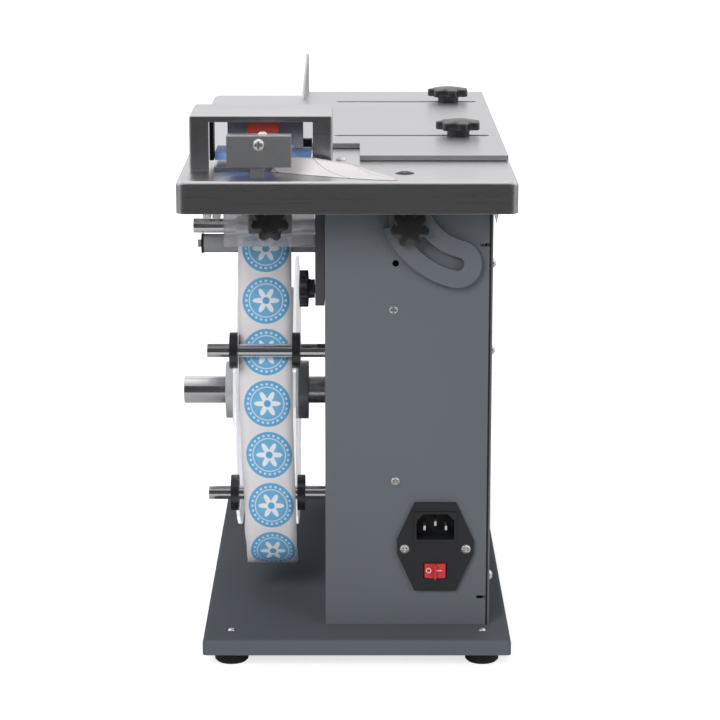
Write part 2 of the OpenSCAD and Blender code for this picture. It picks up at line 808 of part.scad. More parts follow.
shaft_block_w = 40;
shaft_block_t = 20;
shaft_hole_d = 5;
shaft_hole_l = 9;
shaft_end = cab_left + cab_wall + shaft_block_t - tip_room;
module reel_shaft_block() color(steel) difference() {
  block([cab_left + cab_wall, reel_y - shaft_block_w / 2, reel_z - shaft_block_w / 2],
    [cab_left + cab_wall + shaft_block_t, reel_y + shaft_block_w / 2, reel_z + shaft_block_w / 2]);
  along_x(cab_left, reel_y, reel_z) cylinder(d = shaft_d + 2 * run, h = shaft_block_t);
}

module reel_shaft() color(steel) difference() {
  along_x(-overall_w / 2, reel_y, reel_z) cylinder(d = shaft_d, h = shaft_end + overall_w / 2);
  along_x(-overall_w / 2 - cut, reel_y, reel_z) cylinder(d = shaft_hole_d, h = shaft_hole_l);
}

module rod_nuts() color(steel) for (z = [rod_z_hi, rod_z_lo])
  along_x(cab_left + cab_wall, rod_y, z) difference() {
    cylinder(d = rod_d * 1.9, h = nut_t, $fn = 6);
    translate([0, 0, -cut]) cylinder(d = rod_d + 2 * run, h = nut_t + 2 * cut);
  }

module guide_rod(z) color(steel) along_x(rod_left, rod_y, z)
  cylinder(d = rod_d, h = rod_reach + cab_wall + nut_t + tip_room);
module upper_guide_rod() guide_rod(rod_z_hi);
module lower_guide_rod() guide_rod(rod_z_lo);

set_screw_d = 2.5;
module collar(x, z) color(black) along_x(x, rod_y, z) difference() {
  cylinder(d = collar_d, h = collar_w);
  translate([0, 0, -cut]) cylinder(d = rod_d + 2 * run, h = collar_w + 2 * cut);
  translate([0, 0, collar_w / 2]) rotate([0, 90, 0]) cylinder(d = set_screw_d, h = collar_d);
}
collar_l = tape_l - clear - collar_w;
module collar_upper_left() collar(collar_l, rod_z_hi);
module collar_upper_right() collar(tape_r + clear, rod_z_hi);
module collar_lower_left() collar(collar_l, rod_z_lo);
collar_shift = 3;
module collar_lower_right() collar(tape_r + clear + collar_shift, rod_z_lo);

// Reel

hub_x = disc_l - disc_t - hub_flange_t - hub_t;
sleeve_end = disc_r + disc_t + hub_nut_t;
module reel_hub() color(steel) along_x(hub_x, reel_y, reel_z) difference() {
  union() {
    cylinder(d = hub_d, h = hub_t);
    translate([0, 0, hub_t]) cylinder(d = hub_flange_d, h = hub_flange_t);
    cylinder(d = sleeve_d, h = sleeve_end - hub_x);
  }
  translate([0, 0, -cut]) cylinder(d = shaft_d + 2 * run, h = sleeve_end - hub_x + 2 * cut);
  translate([0, 0, hub_t / 2]) rotate([0, 90, 0]) cylinder(d = set_screw_d, h = hub_d);
}

sleeve_fit = sleeve_d + 2 * run;
module reel_nut() color(dark_steel) along_x(disc_r + disc_t, reel_y, reel_z)
  tube(hub_nut_d, sleeve_fit, hub_nut_t);

module reel_disc(x) color([0.9, 0.93, 0.95, 0.5]) along_x(x, reel_y, reel_z)
  tube(disc_d, sleeve_fit, disc_t);
module reel_disc_left() reel_disc(disc_l - disc_t);
module reel_disc_right() reel_disc(disc_r);

core_d = sleeve_fit + 2 * core_wall;
module roll_core() color("#b79a72") along_x(tape_l, reel_y, reel_z)
  tube(core_d, sleeve_fit, tape_w);
module label_roll() color("#dcdbe0") along_x(tape_l, reel_y, reel_z)
  tube(roll_d, core_d + 2 * run, tape_w);

module label_tape() color("#d9d8dd") side_outline(tape_l, tape_w)
  polygon(strip_outline(low_route, tape_t));
module feed_tape() color("#d9d8dd") side_outline(tape_l, tape_w)
  polygon(strip_outline(high_route, tape_t));

// Tilt hinge

ear_ys = [cab_front + cab_wall, cab_back - cab_wall - hinge_plate];
lug_ys = [cab_front + cab_wall + hinge_plate + clear, cab_back - cab_wall - 2 * hinge_plate - clear];

ear_h = 40;
ear_trim = 1;
module hinge_bore(y) along_y(hinge_x, y - cut, hinge_z)
  cylinder(d = hinge_rod_d + 2 * run, h = hinge_plate + 2 * cut);

module hinge_brackets() color(steel) for (y = ear_ys) difference() {
  front_outline(y, hinge_plate) {
    translate([hinge_x, hinge_z]) circle(lug_r);
    translate([hinge_x - lug_r, cab_top - ear_h]) square([2 * lug_r - ear_trim, hinge_z - cab_top + ear_h]);
  }
  hinge_bore(y);
}

module hinge_rod() color(steel) along_y(hinge_x, ear_ys[0], hinge_z)
  cylinder(d = hinge_rod_d, h = cab_d - 2 * cab_wall);

// Two lugs under the table, and the gusset that shows beside the front one
gusset_in = 9.8;
gusset_w = 6.6;
gusset_h = 32;
gusset_drop = 18;
gusset_tip = 4.2;
module hinge_lugs() color(steel) {
  for (y = lug_ys) difference() {
    front_outline(y, hinge_plate) {
      translate([hinge_x, hinge_z]) circle(lug_r);
      translate([hinge_x - lug_r, hinge_z]) square([2 * lug_r, hinge_drop]);
    }
    hinge_bore(y);
  }
  translate([hinge_x + gusset_in, 0, table_under]) front_outline(arc_front, arc_t) polygon([
    [0, 0], [gusset_w, 0], [gusset_w, -gusset_drop], [gusset_tip, -gusset_h], [0, -gusset_drop]
  ]);
}

// A ring sector about the hinge axis, between two angles from straight below it
module sector(r_in, r_out, from, to) {
  far = 2 * r_out;
  middle = (from + to) / 2;
  intersection() {
    difference() {
      circle(r_out);
      circle(r_in);
    }
    polygon([[0, 0], for (a = [from, middle, to]) far * [-sin(a), -cos(a)]]);
  }
}
module arc_dot(r, angle) translate(arc_r * [-sin(angle), -cos(angle)]) circle(r);

tilt_upright_w = 26;
tilt_flange_d = 14;
flange_screw_in = 3.2;
flange_screw = [stud_x - flange_screw_in, arc_front - tilt_flange_d / 2];
flange_screw_d = 6;
module tilt_plate() color(paint) difference() {
  union() {
    front_outline(arc_front, arc_t) difference() {
      union() {
        translate([hinge_x, hinge_z]) {
          sector(arc_r - arc_half, arc_r + arc_half, arc_from, arc_to);
          arc_dot(arc_half, arc_from);
        }
        translate([stud_x - tilt_upright_w / 2, stud_z]) square([tilt_upright_w, table_under - stud_z]);
      }
      translate([hinge_x, hinge_z]) {
        sector(arc_r - arc_slot / 2, arc_r + arc_slot / 2, arc_from, arc_to);
        arc_dot(arc_slot / 2, arc_from);
        arc_dot(arc_slot / 2, arc_to);
      }
    }
    block([stud_x - tilt_upright_w / 2, arc_front - tilt_flange_d, table_under - arc_t],
      [stud_x + tilt_upright_w / 2, arc_back, table_under]);
  }
  translate([flange_screw[0], flange_screw[1], table_under - arc_t - cut])
    cylinder(d = flange_screw_d + 2 * run, h = arc_t + 2 * cut);
}

// Room at the end of a stud in its knob
knob_room = 1;
module tilt_stud() color(steel) {
  along_y(stud_x, arc_front - neck_h - knob_h / 2 + knob_room, stud_z)
    cylinder(d = stud_tilt_d, h = cab_front - arc_front + neck_h + knob_h / 2 + cab_wall + nut_t);
  along_y(stud_x, arc_back + clear, stud_z) cylinder(d = 2 * stud_tilt_d, h = arc_gap - clear);
  along_y(stud_x, cab_front + cab_wall, stud_z) cylinder(d = stud_tilt_d * 1.8, h = nut_t, $fn = 6);
}

module tilt_knob() color(black) along_y(stud_x, arc_front - clear, stud_z) rotate([180, 0, 0])
  star_knob(knob_small, knob_h, stud_tilt_d);

// Worktable

module table_top() color(steel) difference() {
  translate([(table_left + table_right) / 2, 0, table_z])
    folded_sheet(table_w, table_d, table_lip, table_sheet, table_bend, table_corner);
  block([tape_l - slot_side, slot_y - slot_d / 2, table_under - cut],
    [tape_r + slot_side, slot_y + slot_d / 2, table_z + cut]);
  for (y = guide_slot_ys)
    translate([guide_stud_x, y, table_under - cut]) cylinder(d = stud_d + 2 * run, h = table_sheet + 2 * cut);
  translate([flange_screw[0], flange_screw[1], table_under - cut])
    cylinder(d = flange_screw_d + 2 * run, h = table_sheet + 2 * cut);
  translate([dome_screw_x, dome_screw_y, table_under - cut])
    cylinder(d = dome_screw_d + 2 * run, h = table_sheet + 2 * cut);
}

// The large screw that holds the tilt plate's flange under the table
bolt_head_d = 12.4;
bolt_head_h = 1.2;
module flange_bolt() color(dark_steel) translate([flange_screw[0], flange_screw[1], table_z])
  pan_screw(bolt_head_d, bolt_head_h, flange_screw_d, table_sheet + arc_t + tip_room);

module guide_plate() color(steel) difference() {
  translate([0, 0, guide_z]) linear_extrude(guide_t) polygon([
    [guide_left + step_w, guide_y0], [guide_right, guide_y0], [guide_right, guide_y1],
    [guide_left, guide_y1], [guide_left, guide_y0 + step_d], [guide_left + step_w, guide_y0 + step_d]
  ]);
  for (y = guide_slot_ys) translate([0, 0, guide_z - cut]) linear_extrude(guide_t + 2 * cut) {
    translate([guide_slot_right - guide_slot / 2, y]) circle(d = guide_slot);
    translate([guide_slot_right - guide_slot_l + guide_slot / 2, y]) circle(d = guide_slot);
    translate([guide_slot_right - guide_slot_l + guide_slot / 2, y - guide_slot / 2])
      square([guide_slot_l - guide_slot, guide_slot]);
  }
}

fence_in = 2;
fence_lean = 2;
fence_tip = 5;
fence_end = guide_y1 - fence_in;
fence_turn = 4;
module guide_fence() color(steel) translate([guide_left, fence_end - fence_l, 0]) rotate([0, 0, -fence_turn])
  side_outline(0, fence_t) polygon([
    [0, guide_top], [fence_l, guide_top],
    [fence_l - fence_lean, guide_top + fence_h], [fence_l - fence_lean - fence_tip, guide_top + fence_h]
  ]);

stud_head = 3;
module guide_studs() color(steel) for (y = guide_slot_ys) translate([guide_stud_x, y, 0]) {
  translate([0, 0, table_under - stud_head]) cylinder(d = 2 * stud_d, h = stud_head);
  translate([0, 0, table_under - cut])
    cylinder(d = stud_d, h = guide_top + clear + neck_h + knob_h / 2 - table_under);
}
module guide_knob(y) color(black) translate([guide_stud_x, y, guide_top + clear])
  star_knob(knob_big, knob_h, stud_d);
module guide_knob_rear() guide_knob(guide_slot_ys[1]);
module guide_knob_front() guide_knob(guide_slot_ys[0]);

// Labeling head

module head_cover() color(steel) difference() {
  block([hood_l, hood_y0, table_z], [hood_r, hood_y1, table_z + hood_h]);
  block([hood_l + hood_sheet, hood_y0 + hood_sheet, table_z - cut],
    [hood_r - hood_sheet, hood_y1 + cut, hood_under]);
  block([hood_l + hood_leg, hood_y0 - cut, table_z - cut],
    [hood_r - hood_leg, hood_y0 + 2 * hood_sheet, table_z + hood_h - hood_lip]);
}

// The frame that carries the coil, with a leg at its right end
frame_l_out = 22.3;
frame_r_out = 26.3;
frame_leg = 6.3;
frame_up = 12;
frame_l = tape_cx - frame_l_out;
frame_r = tape_cx + frame_r_out;
frame_z = table_z + frame_up;
module head_frame() color("#8a8d92") union() {
  block([frame_l, frame_y, frame_z], [frame_r, frame_y + frame_t, hood_under]);
  block([frame_r - frame_leg, frame_y, pad_z + pad_t + clear], [frame_r, frame_y + frame_t, frame_z + cut]);
}

coil_shift = 1.3;
coil_x = tape_cx + coil_shift;
coil_bore = 10;
module press_coil() color("#a8382f") difference() {
  block([coil_x - coil_w / 2, coil_y - coil_d / 2, coil_z], [coil_x + coil_w / 2, frame_y, coil_top]);
  translate([coil_x, coil_y, coil_z - cut]) cylinder(d = plunger_d + 2 * run, h = coil_bore + cut);
}

pad_shift = 0.8;
pad_x = tape_cx + pad_shift;
plunger_in = 7;
module press_pad() color("#5b86d6") union() {
  block([pad_x - pad_w / 2, pad_y0, pad_z], [pad_x + pad_w / 2, pad_y0 + pad_d, pad_z + pad_t]);
  translate([coil_x, coil_y, pad_z + pad_t / 2])
    cylinder(d = plunger_d, h = coil_z + plunger_in - pad_z - pad_t / 2);
}

// The sensor strip at the left of the pad, and its counterpart on the frame
sensor_lap = 0.2;
sensor_l = hood_l + hood_leg - sensor_lap;
sensor_t = 2.6;
sensor_in = 12;
sensor_y = hood_y0 + sensor_in;
sensor_d = 16;
eye_w = 5.7;
eye_h = 5;
eye_drop = 1;
eye_z = frame_z - eye_drop;
module label_sensor() color(black) union() {
  block([sensor_l, sensor_y, pad_z], [sensor_l + sensor_t, sensor_y + sensor_d, hood_under]);
  block([frame_r, frame_y, eye_z], [frame_r + eye_w, frame_y + frame_t, eye_z + eye_h]);
}

peel_in_front = 5;
peel_in_back = 3;
module peel_plate() color(steel) block([tape_cx - peel_w / 2, hood_y0 + peel_in_front, table_z],
  [tape_cx + peel_w / 2, hood_y1 - peel_in_back, table_z + peel_t]);

post_shift = 1.1;
post_in = 2;
post_d = 10;
post_x = tape_cx - post_shift;
post_y = clamp_y + post_in;
clamp_top = clamp_z + clamp_h;
front_screw_drop = 5.5;
top_screw_shift = 2.2;
top_screw_in = 9.4;
front_screw_z = clamp_top - front_screw_drop;
top_screw = [tape_cx + top_screw_shift, clamp_y + top_screw_in];
clamp_screw_d = 4;
clamp_screw_l = 5;
clamp_bore = clamp_screw_l + tip_room;
module clamp_block() color("#9a9ba0") difference() {
  union() {
    block([tape_cx - clamp_w / 2, clamp_y, clamp_z], [tape_cx + clamp_w / 2, clamp_y + clamp_d, clamp_top]);
    block([post_x - post_w / 2, post_y, table_z], [post_x + post_w / 2, post_y + post_d, clamp_z + cut]);
  }
  along_y(tape_cx, clamp_y - cut, front_screw_z) cylinder(d = clamp_screw_d + 2 * run, h = clamp_bore + cut);
  translate([top_screw[0], top_screw[1], clamp_top - clamp_bore])
    cylinder(d = clamp_screw_d + 2 * run, h = clamp_bore + cut);
}

// The screws of the clamp block, and the dome screw that holds the head bracket
clamp_head_d = 8.2;
clamp_head_h = 3;
top_head_d = 6.4;
top_head_h = 1.8;
dome_head_d = 7;
dome_head_h = 2.6;
module head_screws() color(steel) {
  along_y(tape_cx, clamp_y, front_screw_z) rotate([180, 0, 0])
    pan_screw(clamp_head_d, clamp_head_h, clamp_screw_d, clamp_screw_l);
  translate([top_screw[0], top_screw[1], clamp_top])
    pan_screw(top_head_d, top_head_h, clamp_screw_d, clamp_screw_l);
  translate([dome_screw_x, dome_screw_y, table_z])
    pan_screw(dome_head_d, dome_head_h, dome_screw_d, table_sheet + flange_t + tip_room);
}

// The used liner's end, with its outline in shares of its length and width
liner_tilt = 18;
liner_out = 1;
liner_l = 87;
liner_w = 30;
liner_shape = [
  [0.07, 0.17], [0.07, 0.57], [0.24, 0.6], [0.25, 1], [0.6, 1], [0.8, 0.73], [1, 0.07], [0.8, 0], [0.57, 0.07]
];
module liner_end() color("#e6dfe0") translate([tape_cx, clamp_y - liner_out, table_z + rest])
  rotate([liner_tilt, 0, 0]) linear_extrude(tape_t)
    polygon([for (p = liner_shape) [p[0] * liner_l, p[1] * liner_w]]);

// Feed

pinch_floor = 1;
bracket_stud = neck_h + bracket_knob_h / 2 + clear - knob_room;
module head_bracket() color(dark_steel) difference() {
  union() {
    block([bracket_left, bracket_y0, bracket_low], [bracket_right, bracket_y1, table_under]);
    block([bracket_left, bracket_y0, table_under - flange_t],
      [bracket_right + bracket_flange, bracket_y1, table_under]);
    along_x(bracket_left - bracket_stud, bracket_knob_y, bracket_knob_z)
      cylinder(d = stud_d, h = bracket_stud + cut);
  }
  along_x(bracket_left - cut, feed_y, feed_z) cylinder(d = feed_axle_d + 2 * run, h = bracket_t + 2 * cut);
  along_x(bracket_left - cut, pinch_y, pinch_z)
    cylinder(d = pinch_axle_d + 2 * run, h = bracket_t - pinch_floor + cut);
  translate([dome_screw_x, dome_screw_y, table_under - flange_t - cut])
    cylinder(d = dome_screw_d + 2 * run, h = flange_t + 2 * cut);
}

module bracket_knob() color(black) along_x(bracket_left - clear, bracket_knob_y, bracket_knob_z)
  rotate([0, 180, 0]) star_knob(bracket_knob_d, bracket_knob_h, stud_d);

motor_bore = 12;
module feed_motor() color("#2a2b2e") difference() {
  block([bracket_right, feed_y - motor_w / 2, feed_z - motor_w / 2],
    [bracket_right + motor_l, feed_y + motor_w / 2, feed_z + motor_w / 2]);
  along_x(bracket_right - cut, feed_y, feed_z) cylinder(d = feed_axle_d + 2 * run, h = motor_bore + cut);
}

feed_reach = 80.7;
feed_left = cab_left - feed_reach;
axle_stub = 4;
module feed_roller() color("#8d9094") union() {
  along_x(feed_left, feed_y, feed_z) cylinder(d = feed_d, h = bracket_left - clear - feed_left);
  along_x(feed_left - axle_stub, feed_y, feed_z)
    cylinder(d = feed_axle_d, h = bracket_right + motor_bore - tip_room - feed_left + axle_stub);
}

pinch_reach = 87;
pinch_lap = 1;
pinch_left = cab_left - pinch_reach;
module pinch_roller() color(steel) union() {
  along_x(pinch_left, pinch_y, pinch_z) cylinder(d = pinch_axle_d, h = bracket_right - tip_room - pinch_left);
  along_x(tape_l - pinch_lap, pinch_y, pinch_z) cylinder(d = pinch_d, h = tape_w + 2 * pinch_lap);
}

hanger_t = 2.5;
hanger_w = 28;
hanger_up = 8;
clear_stud = clear + neck_h + knob_h / 2 - knob_room;
// Two small blocks over the pinch roller's free end
rest_w = 5;
rest_d = 12;
rest_pitch = 6.2;
rest_in = 11;
rest_gap = 0.5;
rest_low = pinch_z + pinch_axle_d / 2 + rest_gap;
module guide_hanger() color(steel) {
  block([clear_stud_x - hanger_w / 2, clear_y + clear_t, clear_low + hanger_up],
    [clear_stud_x + hanger_w / 2, clear_y + clear_t + hanger_t, table_under]);
  along_y(clear_stud_x, clear_y - clear_stud, clear_stud_z)
    cylinder(d = stud_d, h = clear_stud + clear_t + cut);
  for (i = [0, 1])
    translate([table_left + rest_in + i * rest_pitch, pinch_y - rest_d / 2, rest_low])
      cube([rest_w, rest_d, table_under - rest_low]);
}

module clear_guide() color([0.85, 0.88, 0.9, 0.5]) difference() {
  block([clear_left, clear_y, clear_low], [clear_right, clear_y + clear_t, table_under]);
  along_y(clear_stud_x, clear_y - cut, clear_stud_z) cylinder(d = stud_d + 2 * run, h = clear_t + 2 * cut);
}

module clear_knob() color(black) along_y(clear_stud_x, clear_y - clear, clear_stud_z)
  rotate([180, 0, 0]) star_knob(knob_small, knob_h, stud_d);

base_plate();
rubber_feet();
foot_screws();
cabinet_shell();
cover_seal();
side_cover();
case_screws();
inlet_housing();
inlet_pins();
rocker_switch();
power_supply();
control_board();
board_standoffs();
reel_shaft_block();
reel_shaft();
rod_nuts();
upper_guide_rod();
lower_guide_rod();
collar_upper_left();
collar_upper_right();
collar_lower_left();
collar_lower_right();
reel_hub();
reel_nut();
reel_disc_left();
reel_disc_right();
roll_core();
label_roll();
label_tape();
hinge_brackets();
hinge_rod();
hinge_lugs();
table_top();
tilt_plate();
tilt_stud();
tilt_knob();
guide_plate();
guide_fence();
guide_studs();
guide_knob_rear();
guide_knob_front();
flange_bolt();
head_cover();
head_frame();
press_coil();
press_pad();
label_sensor();
peel_plate();
clamp_block();
head_screws();
feed_tape();
liner_end();
head_bracket();
bracket_knob();
feed_motor();
feed_roller();
pinch_roller();
guide_hanger();
clear_guide();
clear_knob();
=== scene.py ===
"""Looks of the corner labeling machine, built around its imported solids. Metres, the same frame."""
import math
import random

import bmesh
import bpy
from mathutils import Matrix, Vector


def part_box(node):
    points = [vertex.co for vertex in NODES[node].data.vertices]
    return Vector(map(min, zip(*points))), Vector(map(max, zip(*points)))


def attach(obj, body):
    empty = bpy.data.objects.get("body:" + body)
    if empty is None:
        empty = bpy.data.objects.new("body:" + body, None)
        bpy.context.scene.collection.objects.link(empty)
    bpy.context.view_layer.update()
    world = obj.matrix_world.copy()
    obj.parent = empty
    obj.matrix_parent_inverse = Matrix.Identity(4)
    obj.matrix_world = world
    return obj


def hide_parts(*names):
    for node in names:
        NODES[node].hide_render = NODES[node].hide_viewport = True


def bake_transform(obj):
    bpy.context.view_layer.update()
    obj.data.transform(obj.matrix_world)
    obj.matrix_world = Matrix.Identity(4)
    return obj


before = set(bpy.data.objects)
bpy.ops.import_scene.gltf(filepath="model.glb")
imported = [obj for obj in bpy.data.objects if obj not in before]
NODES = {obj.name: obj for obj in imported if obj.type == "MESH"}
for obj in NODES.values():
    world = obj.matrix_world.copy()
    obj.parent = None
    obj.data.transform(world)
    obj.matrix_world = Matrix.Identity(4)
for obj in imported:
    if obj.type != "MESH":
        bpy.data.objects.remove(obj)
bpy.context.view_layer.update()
SCENE = bpy.context.scene
MM = 0.001
random.seed(7)


def rgb(code):
    """A linear colour from a written sRGB one."""
    parts = [int(code[i:i + 2], 16) / 255 for i in (1, 3, 5)]
    linear = [p / 12.92 if p <= 0.04045 else ((p + 0.055) / 1.055) ** 2.4 for p in parts]
    return (*linear, 1.0)


def shade(colour, factor):
    """The colour made lighter or darker."""
    return (*[min(1.0, c * factor) for c in colour[:3]], 1.0)


# Materials

RANGE_KEYS = ("From Min", "From Max", "To Min", "To Max")
EDGE_SAMPLES = 6


class Surface:
    """A node material around one principled shader."""

    def __init__(self, name, **sockets):
        self.material = bpy.data.materials.new(name)
        self.material.use_nodes = True
        self.tree = self.material.node_tree
        self.tree.nodes.clear()
        self.output = self.tree.nodes.new("ShaderNodeOutputMaterial")
        self.shader = self.tree.nodes.new("ShaderNodeBsdfPrincipled")
        self.join(self.shader.outputs["BSDF"], self.output.inputs["Surface"])
        for key, value in sockets.items():
            self.shader.inputs[key.replace("_", " ")].default_value = value

    def join(self, source, target):
        """Links two sockets."""
        self.tree.links.new(source, target)

    def node(self, kind, settings=None, **inputs):
        """A shader node. Inputs go by name, or by number as i0, i1 and so on."""
        made = self.tree.nodes.new("ShaderNode" + kind)
        for key, value in (settings or {}).items():
            setattr(made, key, value)
        for key, value in inputs.items():
            by_number = key[0] == "i" and key[1:].isdigit()
            socket = made.inputs[int(key[1:]) if by_number else key]
            if isinstance(value, bpy.types.NodeSocket):
                self.join(value, socket)
            else:
                socket.default_value = value
        return made

    def place(self, stretch=(1, 1, 1)):
        """Texture coordinates in metres, stretched."""
        coords = self.node("TexCoord").outputs["Object"]
        return self.node("Mapping", Vector=coords, Scale=stretch).outputs["Vector"]

    def noise(self, scale, detail=2.0, stretch=(1, 1, 1), rough=0.5):
        """Noise with so many grains to the metre."""
        made = self.node("TexNoise", Vector=self.place(stretch), Scale=scale, Detail=detail,
                         Roughness=rough)
        return made.outputs["Fac"]

    def math(self, kind, a, b=0.0):
        """One sum on two numbers or sockets."""
        return self.node("Math", {"operation": kind}, i0=a, i1=b).outputs[0]

    def span(self, value, low, high, from_low=0.3, from_high=0.7):
        """The value moved to another range. Noise mostly lies between 0.3 and 0.7."""
        made = self.node("MapRange", Value=value)
        for key, number in zip(RANGE_KEYS, (from_low, from_high, low, high)):
            made.inputs[key].default_value = number
        return made.outputs["Result"]

    def mix(self, factor, a, b):
        """A colour between two colours."""
        made = self.node("Mix", {"data_type": "RGBA"}, Factor=factor)
        for socket, value in zip(made.inputs[6:8], (a, b)):
            if isinstance(value, bpy.types.NodeSocket):
                self.join(value, socket)
            else:
                socket.default_value = value
        return made.outputs[2]

    def bump(self, height, strength, distance, normal=None):
        """A normal with fine relief on it."""
        made = self.node("Bump", Height=height, Strength=strength, Distance=distance)
        if normal is not None:
            self.join(normal, made.inputs["Normal"])
        return made.outputs["Normal"]

    def edge(self, radius):
        """A normal that rounds sharp edges."""
        return self.node("Bevel", {"samples": EDGE_SAMPLES}, Radius=radius).outputs["Normal"]

    def set(self, **links):
        """Links sockets to the shader and gives back the finished material."""
        for key, value in links.items():
            self.join(value, self.shader.inputs[key.replace("_", " ")])
        return self.material


ROUND_EDGE = 0.4 * MM
PAINT_EDGE = 0.5 * MM


def painted(name, colour, rough=0.46, shine=0.3):
    """Powder coat with a fine texture."""
    s = Surface(name, Specular_IOR_Level=shine)
    grain = s.noise(scale=1500, detail=3)
    cloud = s.noise(scale=9, detail=3)
    tone = s.mix(cloud, shade(colour, 0.92), shade(colour, 1.08))
    speckled = s.mix(s.span(grain, low=0, high=0.16), tone, shade(colour, 1.5))
    normal = s.bump(grain, strength=0.22, distance=0.12 * MM, normal=s.edge(PAINT_EDGE))
    return s.set(Base_Color=speckled, Normal=normal,
                 Roughness=s.span(cloud, low=rough - 0.05, high=rough + 0.06))


def brushed(name, colour, stretch, rough=0.28, depth=0.05, metal=1.0):
    """Metal with fine lines along the axis that is stretched least."""
    s = Surface(name, Metallic=metal)
    lines = s.noise(scale=1, detail=4, stretch=stretch, rough=0.65)
    cloud = s.noise(scale=14, detail=3)
    tone = s.mix(lines, shade(colour, 0.95), shade(colour, 1.03))
    tone = s.mix(s.span(cloud, low=0, high=0.22), tone, shade(colour, 0.9))
    normal = s.bump(lines, strength=depth, distance=0.06 * MM, normal=s.edge(ROUND_EDGE))
    return s.set(Base_Color=tone, Normal=normal,
                 Roughness=s.span(lines, low=rough - 0.05, high=rough + 0.08))


def plastic(name, colour, rough=0.4, grain_scale=2200, depth=0.18, shine=0.5):
    """Moulded plastic or rubber with a fine skin."""
    s = Surface(name, Specular_IOR_Level=shine)
    grain = s.noise(scale=grain_scale, detail=2)
    cloud = s.noise(scale=40, detail=3)
    tone = s.mix(cloud, shade(colour, 0.8), shade(colour, 1.25))
    normal = s.bump(grain, strength=depth, distance=0.1 * MM, normal=s.edge(ROUND_EDGE))
    return s.set(Base_Color=tone, Normal=normal,
                 Roughness=s.span(cloud, low=rough - 0.06, high=rough + 0.08))


def clear_plastic(name, colour, rough, clear, bend, glow):
    """Clear acrylic, a little cloudy, with rounded edges. The glow is painted light: the acrylic shines by
    itself though no lamp lights it.
    """
    s = Surface(name, IOR=bend, Transmission_Weight=clear, Specular_IOR_Level=0.2,
                Emission_Color=colour, Emission_Strength=glow)
    cloud = s.noise(scale=30, detail=2)
    tone = s.mix(cloud, shade(colour, 0.96), colour)
    return s.set(Base_Color=tone, Normal=s.edge(ROUND_EDGE),
                 Roughness=s.span(cloud, low=rough - 0.03, high=rough + 0.06))


PAPER = rgb("#e8e5e8")
LABEL_BLUE = rgb("#80bbe2")
LABEL_DEEP = rgb("#65abd9")
LABEL_PALE = rgb("#dbeaf6")
LABEL_WHITE = rgb("#eef3f9")
LABEL_PITCH = 34.6 * MM
LABEL_R = 15.6 * MM
LABEL_SIDE = 0.7 * MM
# The label's drawing, in shares of its radius
PETALS = 6.0
PETAL_MEAN = 0.40
PETAL_SWING = 0.17
HEART = 0.15
RING_BAND = (0.69, 0.73)
DOT_BAND = (0.80, 0.88)
DOTS = 24.0


def label_paper():
    """White liner with round blue labels: a ring and a rosette, worked out from the web's own length."""
    s = Surface("label_paper", Specular_IOR_Level=0.35)
    coords = s.node("SeparateXYZ", Vector=s.node("UVMap").outputs["UV"])
    across = s.math("SUBTRACT", coords.outputs["X"], LABEL_SIDE)
    along = s.math("SUBTRACT", s.math("MODULO", coords.outputs["Y"], LABEL_PITCH), LABEL_PITCH / 2)
    squares = s.math("ADD", s.math("MULTIPLY", across, across), s.math("MULTIPLY", along, along))
    radius = s.math("SQRT", squares)
    share = s.math("DIVIDE", radius, LABEL_R)
    angle = s.math("ARCTAN2", along, across)

    def inside(value, edge, soft=0.02):
        return s.span(value, 1, 0, edge - soft, edge + soft)

    def band(low, high):
        return s.math("MULTIPLY", inside(share, high), s.math("SUBTRACT", 1.0, inside(share, low)))

    def wave(turns):
        return s.math("COSINE", s.math("MULTIPLY", angle, turns))

    petals = s.math("ADD", s.math("MULTIPLY", wave(PETALS), PETAL_SWING), PETAL_MEAN)
    rosette = inside(s.math("SUBTRACT", share, petals), 0.0)
    heart = inside(share, HEART)
    ticks = s.span(wave(DOTS), low=0, high=1, from_low=0.0, from_high=0.3)
    dots = s.math("MULTIPLY", band(*DOT_BAND), ticks)
    disc = s.mix(s.span(share, low=0, high=1, from_low=0.2, from_high=1.0), LABEL_BLUE, LABEL_DEEP)
    disc = s.mix(band(*RING_BAND), disc, LABEL_PALE)
    disc = s.mix(dots, disc, LABEL_PALE)
    disc = s.mix(rosette, disc, LABEL_WHITE)
    disc = s.mix(heart, disc, LABEL_DEEP)
    fibre = s.noise(scale=700, detail=3)
    paper = s.mix(fibre, shade(PAPER, 0.94), PAPER)
    on_label = inside(share, 1.0, soft=0.012)
    tone = s.mix(on_label, paper, disc)
    fine = s.bump(fibre, strength=0.1, distance=0.05 * MM)
    normal = s.bump(on_label, strength=0.5, distance=0.08 * MM, normal=fine)
    return s.set(Base_Color=tone, Normal=normal,
                 Roughness=s.span(on_label, low=0.52, high=0.34, from_low=0, from_high=1))


def paper_skin(s, tone, fibre):
    """Finishes a paper: its colour, and the roughness and relief of its fibres."""
    return s.set(Base_Color=tone, Roughness=s.span(fibre, low=0.5, high=0.66),
                 Normal=s.bump(fibre, strength=0.15, distance=0.06 * MM))


def plain_paper(name, colour, scale=500):
    """Unprinted paper or board."""
    s = Surface(name, Specular_IOR_Level=0.3)
    fibre = s.noise(scale=scale, detail=4)
    return paper_skin(s, s.mix(fibre, shade(colour, 0.9), colour), fibre)


CUT_SLANT = 0.85
CUT_START = -175.1 * MM
CUT_PITCH = 25 * MM
CUT_FULL = 0.3 * MM
CUT_END = 0.6 * MM
CUT_DARK = 0.75
CUT_COLOUR = rgb("#3a3536")
LINER_DARK = rgb("#f6edef")
LINER_PALE = rgb("#fffbfc")


